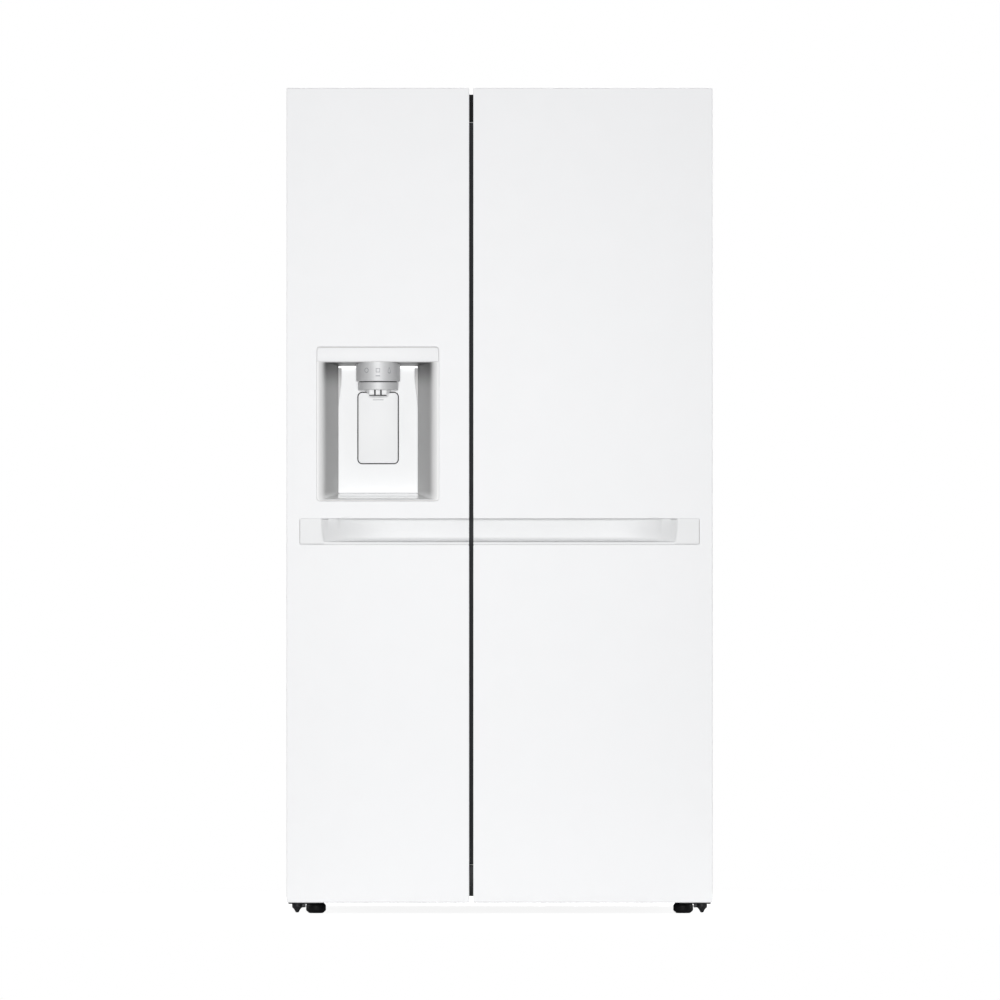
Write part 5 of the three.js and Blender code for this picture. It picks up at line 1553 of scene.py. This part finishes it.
def compressor_shell():
    """A steel shell turned from a domed profile with a welded seam, on a plate, with a short round collar
    between them.
    """
    low, high = span("compressor")
    x, y = (low[0] + high[0]) / 2, (low[1] + high[1]) / 2
    r, top, base = 76 * MM, high[2], 62 * MM
    profile = [(1e-7, base)] + [(r - 18 * MM * (1 - s), base + 18 * MM * (1 - c)) for s, c in quarter(6)]
    profile += [(r, 0.118), (r + 3 * MM, 0.119), (r + 3.6 * MM, 0.123), (r + 3 * MM, 0.127), (r, 0.128),
                (r, 0.176)]
    profile += [(r * c, 0.176 + (top - 0.176) * s) for s, c in quarter(10)][1:-1] + [(1e-7, top)]
    skin = Skin()
    lathe(skin, profile, (x, y, 0), segments=64)
    soft_box(skin, (low[0], low[1] + 17 * MM, 45.3 * MM), (high[0], high[1] - 17 * MM, 50.5 * MM),
             1.5 * MM, 14 * MM)
    lathe(skin, [(30 * MM, 50 * MM), (30 * MM, 66 * MM)], (x, y, 0), segments=32)
    return skin.build("compressor_shell", [BLACK_MOULDING], sharp=40)


for node in ("freezer_shelf", "crisper_cover", "fridge_shelf_lower", "fridge_shelf_upper"):
    place(glass_shelf(node + "_glass", node), "cabinet", "shelf_glass", node)
for node in ("freezer_drawer_lower", "freezer_drawer_upper", "crisper_drawer_lower", "crisper_drawer_upper",
             "ice_bin"):
    place(pull_drawer(node + "_tub", node), node + "_body", "clear_plastic", node)
place(ice_tray_unit(), "cabinet", "white_plastic", "ice_maker")
place(compressor_shell(), "cabinet", "black_plastic", "compressor")
place(fan("condenser_fan_wheel", "condenser_fan", 0, CONDENSER_FAN, 71 * MM, 20 * MM, 7, 4.4 * MM),
      "condenser_fan_body", "black_plastic", "condenser_fan")
place(fan("evaporator_fan_wheel", "evaporator_fan", 1, COLD_FAN, 51 * MM, 18 * MM, 5, 3.4 * MM),
      "evaporator_fan_body", "black_plastic", "evaporator_fan")

FAN_X, FAN_Z = COLD_FAN
intake = [((FAN_X + (i * 36 - 12) * MM, 355 * MM), (FAN_X + (i * 36 + 12) * MM, 370 * MM))
          for i in range(-3, 4)]
guard = [((FAN_X - 36 * MM, FAN_Z + (dz - 5) * MM), (FAN_X + 36 * MM, FAN_Z + (dz + 5) * MM))
         for dz in (-40, -20, 20, 40)]


def fan_boss(skin):
    """The cold fan's boss and shaft, as a profile of radius and height turned about Y."""
    y = span("evaporator_cover")[0][1]
    lathe(skin, [(16 * MM, y + 2 * MM), (16 * MM, y + 11 * MM), (3 * MM, y + 11 * MM), (3 * MM, y + 27 * MM),
                 (1e-7, y + 27 * MM)], (FAN_X, 0, FAN_Z), 1, 32, 1)


place(wall_panel("freezer_wall_panel", "evaporator_cover", intake + guard, 40 * MM, INNER_LINER, fan_boss),
      "cabinet", "white_plastic", "evaporator_cover")
duct_low, duct_high = span("air_duct")
vents = [((duct_low[0] + 25 * MM, z), (duct_high[0] - 25 * MM, z + 14 * MM)) for z in (0.7, 0.95, 1.2, 1.45)]
place(wall_panel("fridge_air_panel", "air_duct", vents, duct_high[1] - duct_low[1], INNER_LINER), "cabinet",
      "white_plastic", "air_duct")


# ---------------------------------------------------------------- parts kept from the frame

def keep(node, material, edge=0.6 * MM):
    """Gives a kept part its finish and breaks its sharp edges."""
    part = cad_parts[node]
    part.data.materials.clear()
    part.data.materials.append(material)
    add_modifier(part, "WELD", merge_threshold=0.00001)
    if edge:
        add_modifier(part, "BEVEL", width=edge, segments=2, limit_method="ANGLE",
                     angle_limit=math.radians(40))


keep("foam_body", FOAM, 0)
keep("freezer_door_foam", FOAM, 0)
keep("fridge_door_foam", FOAM, 0)
keep("condenser", DARK_PAINT, 0.3 * MM)
keep("evaporator", COIL_ALUMINIUM, 0.3 * MM)
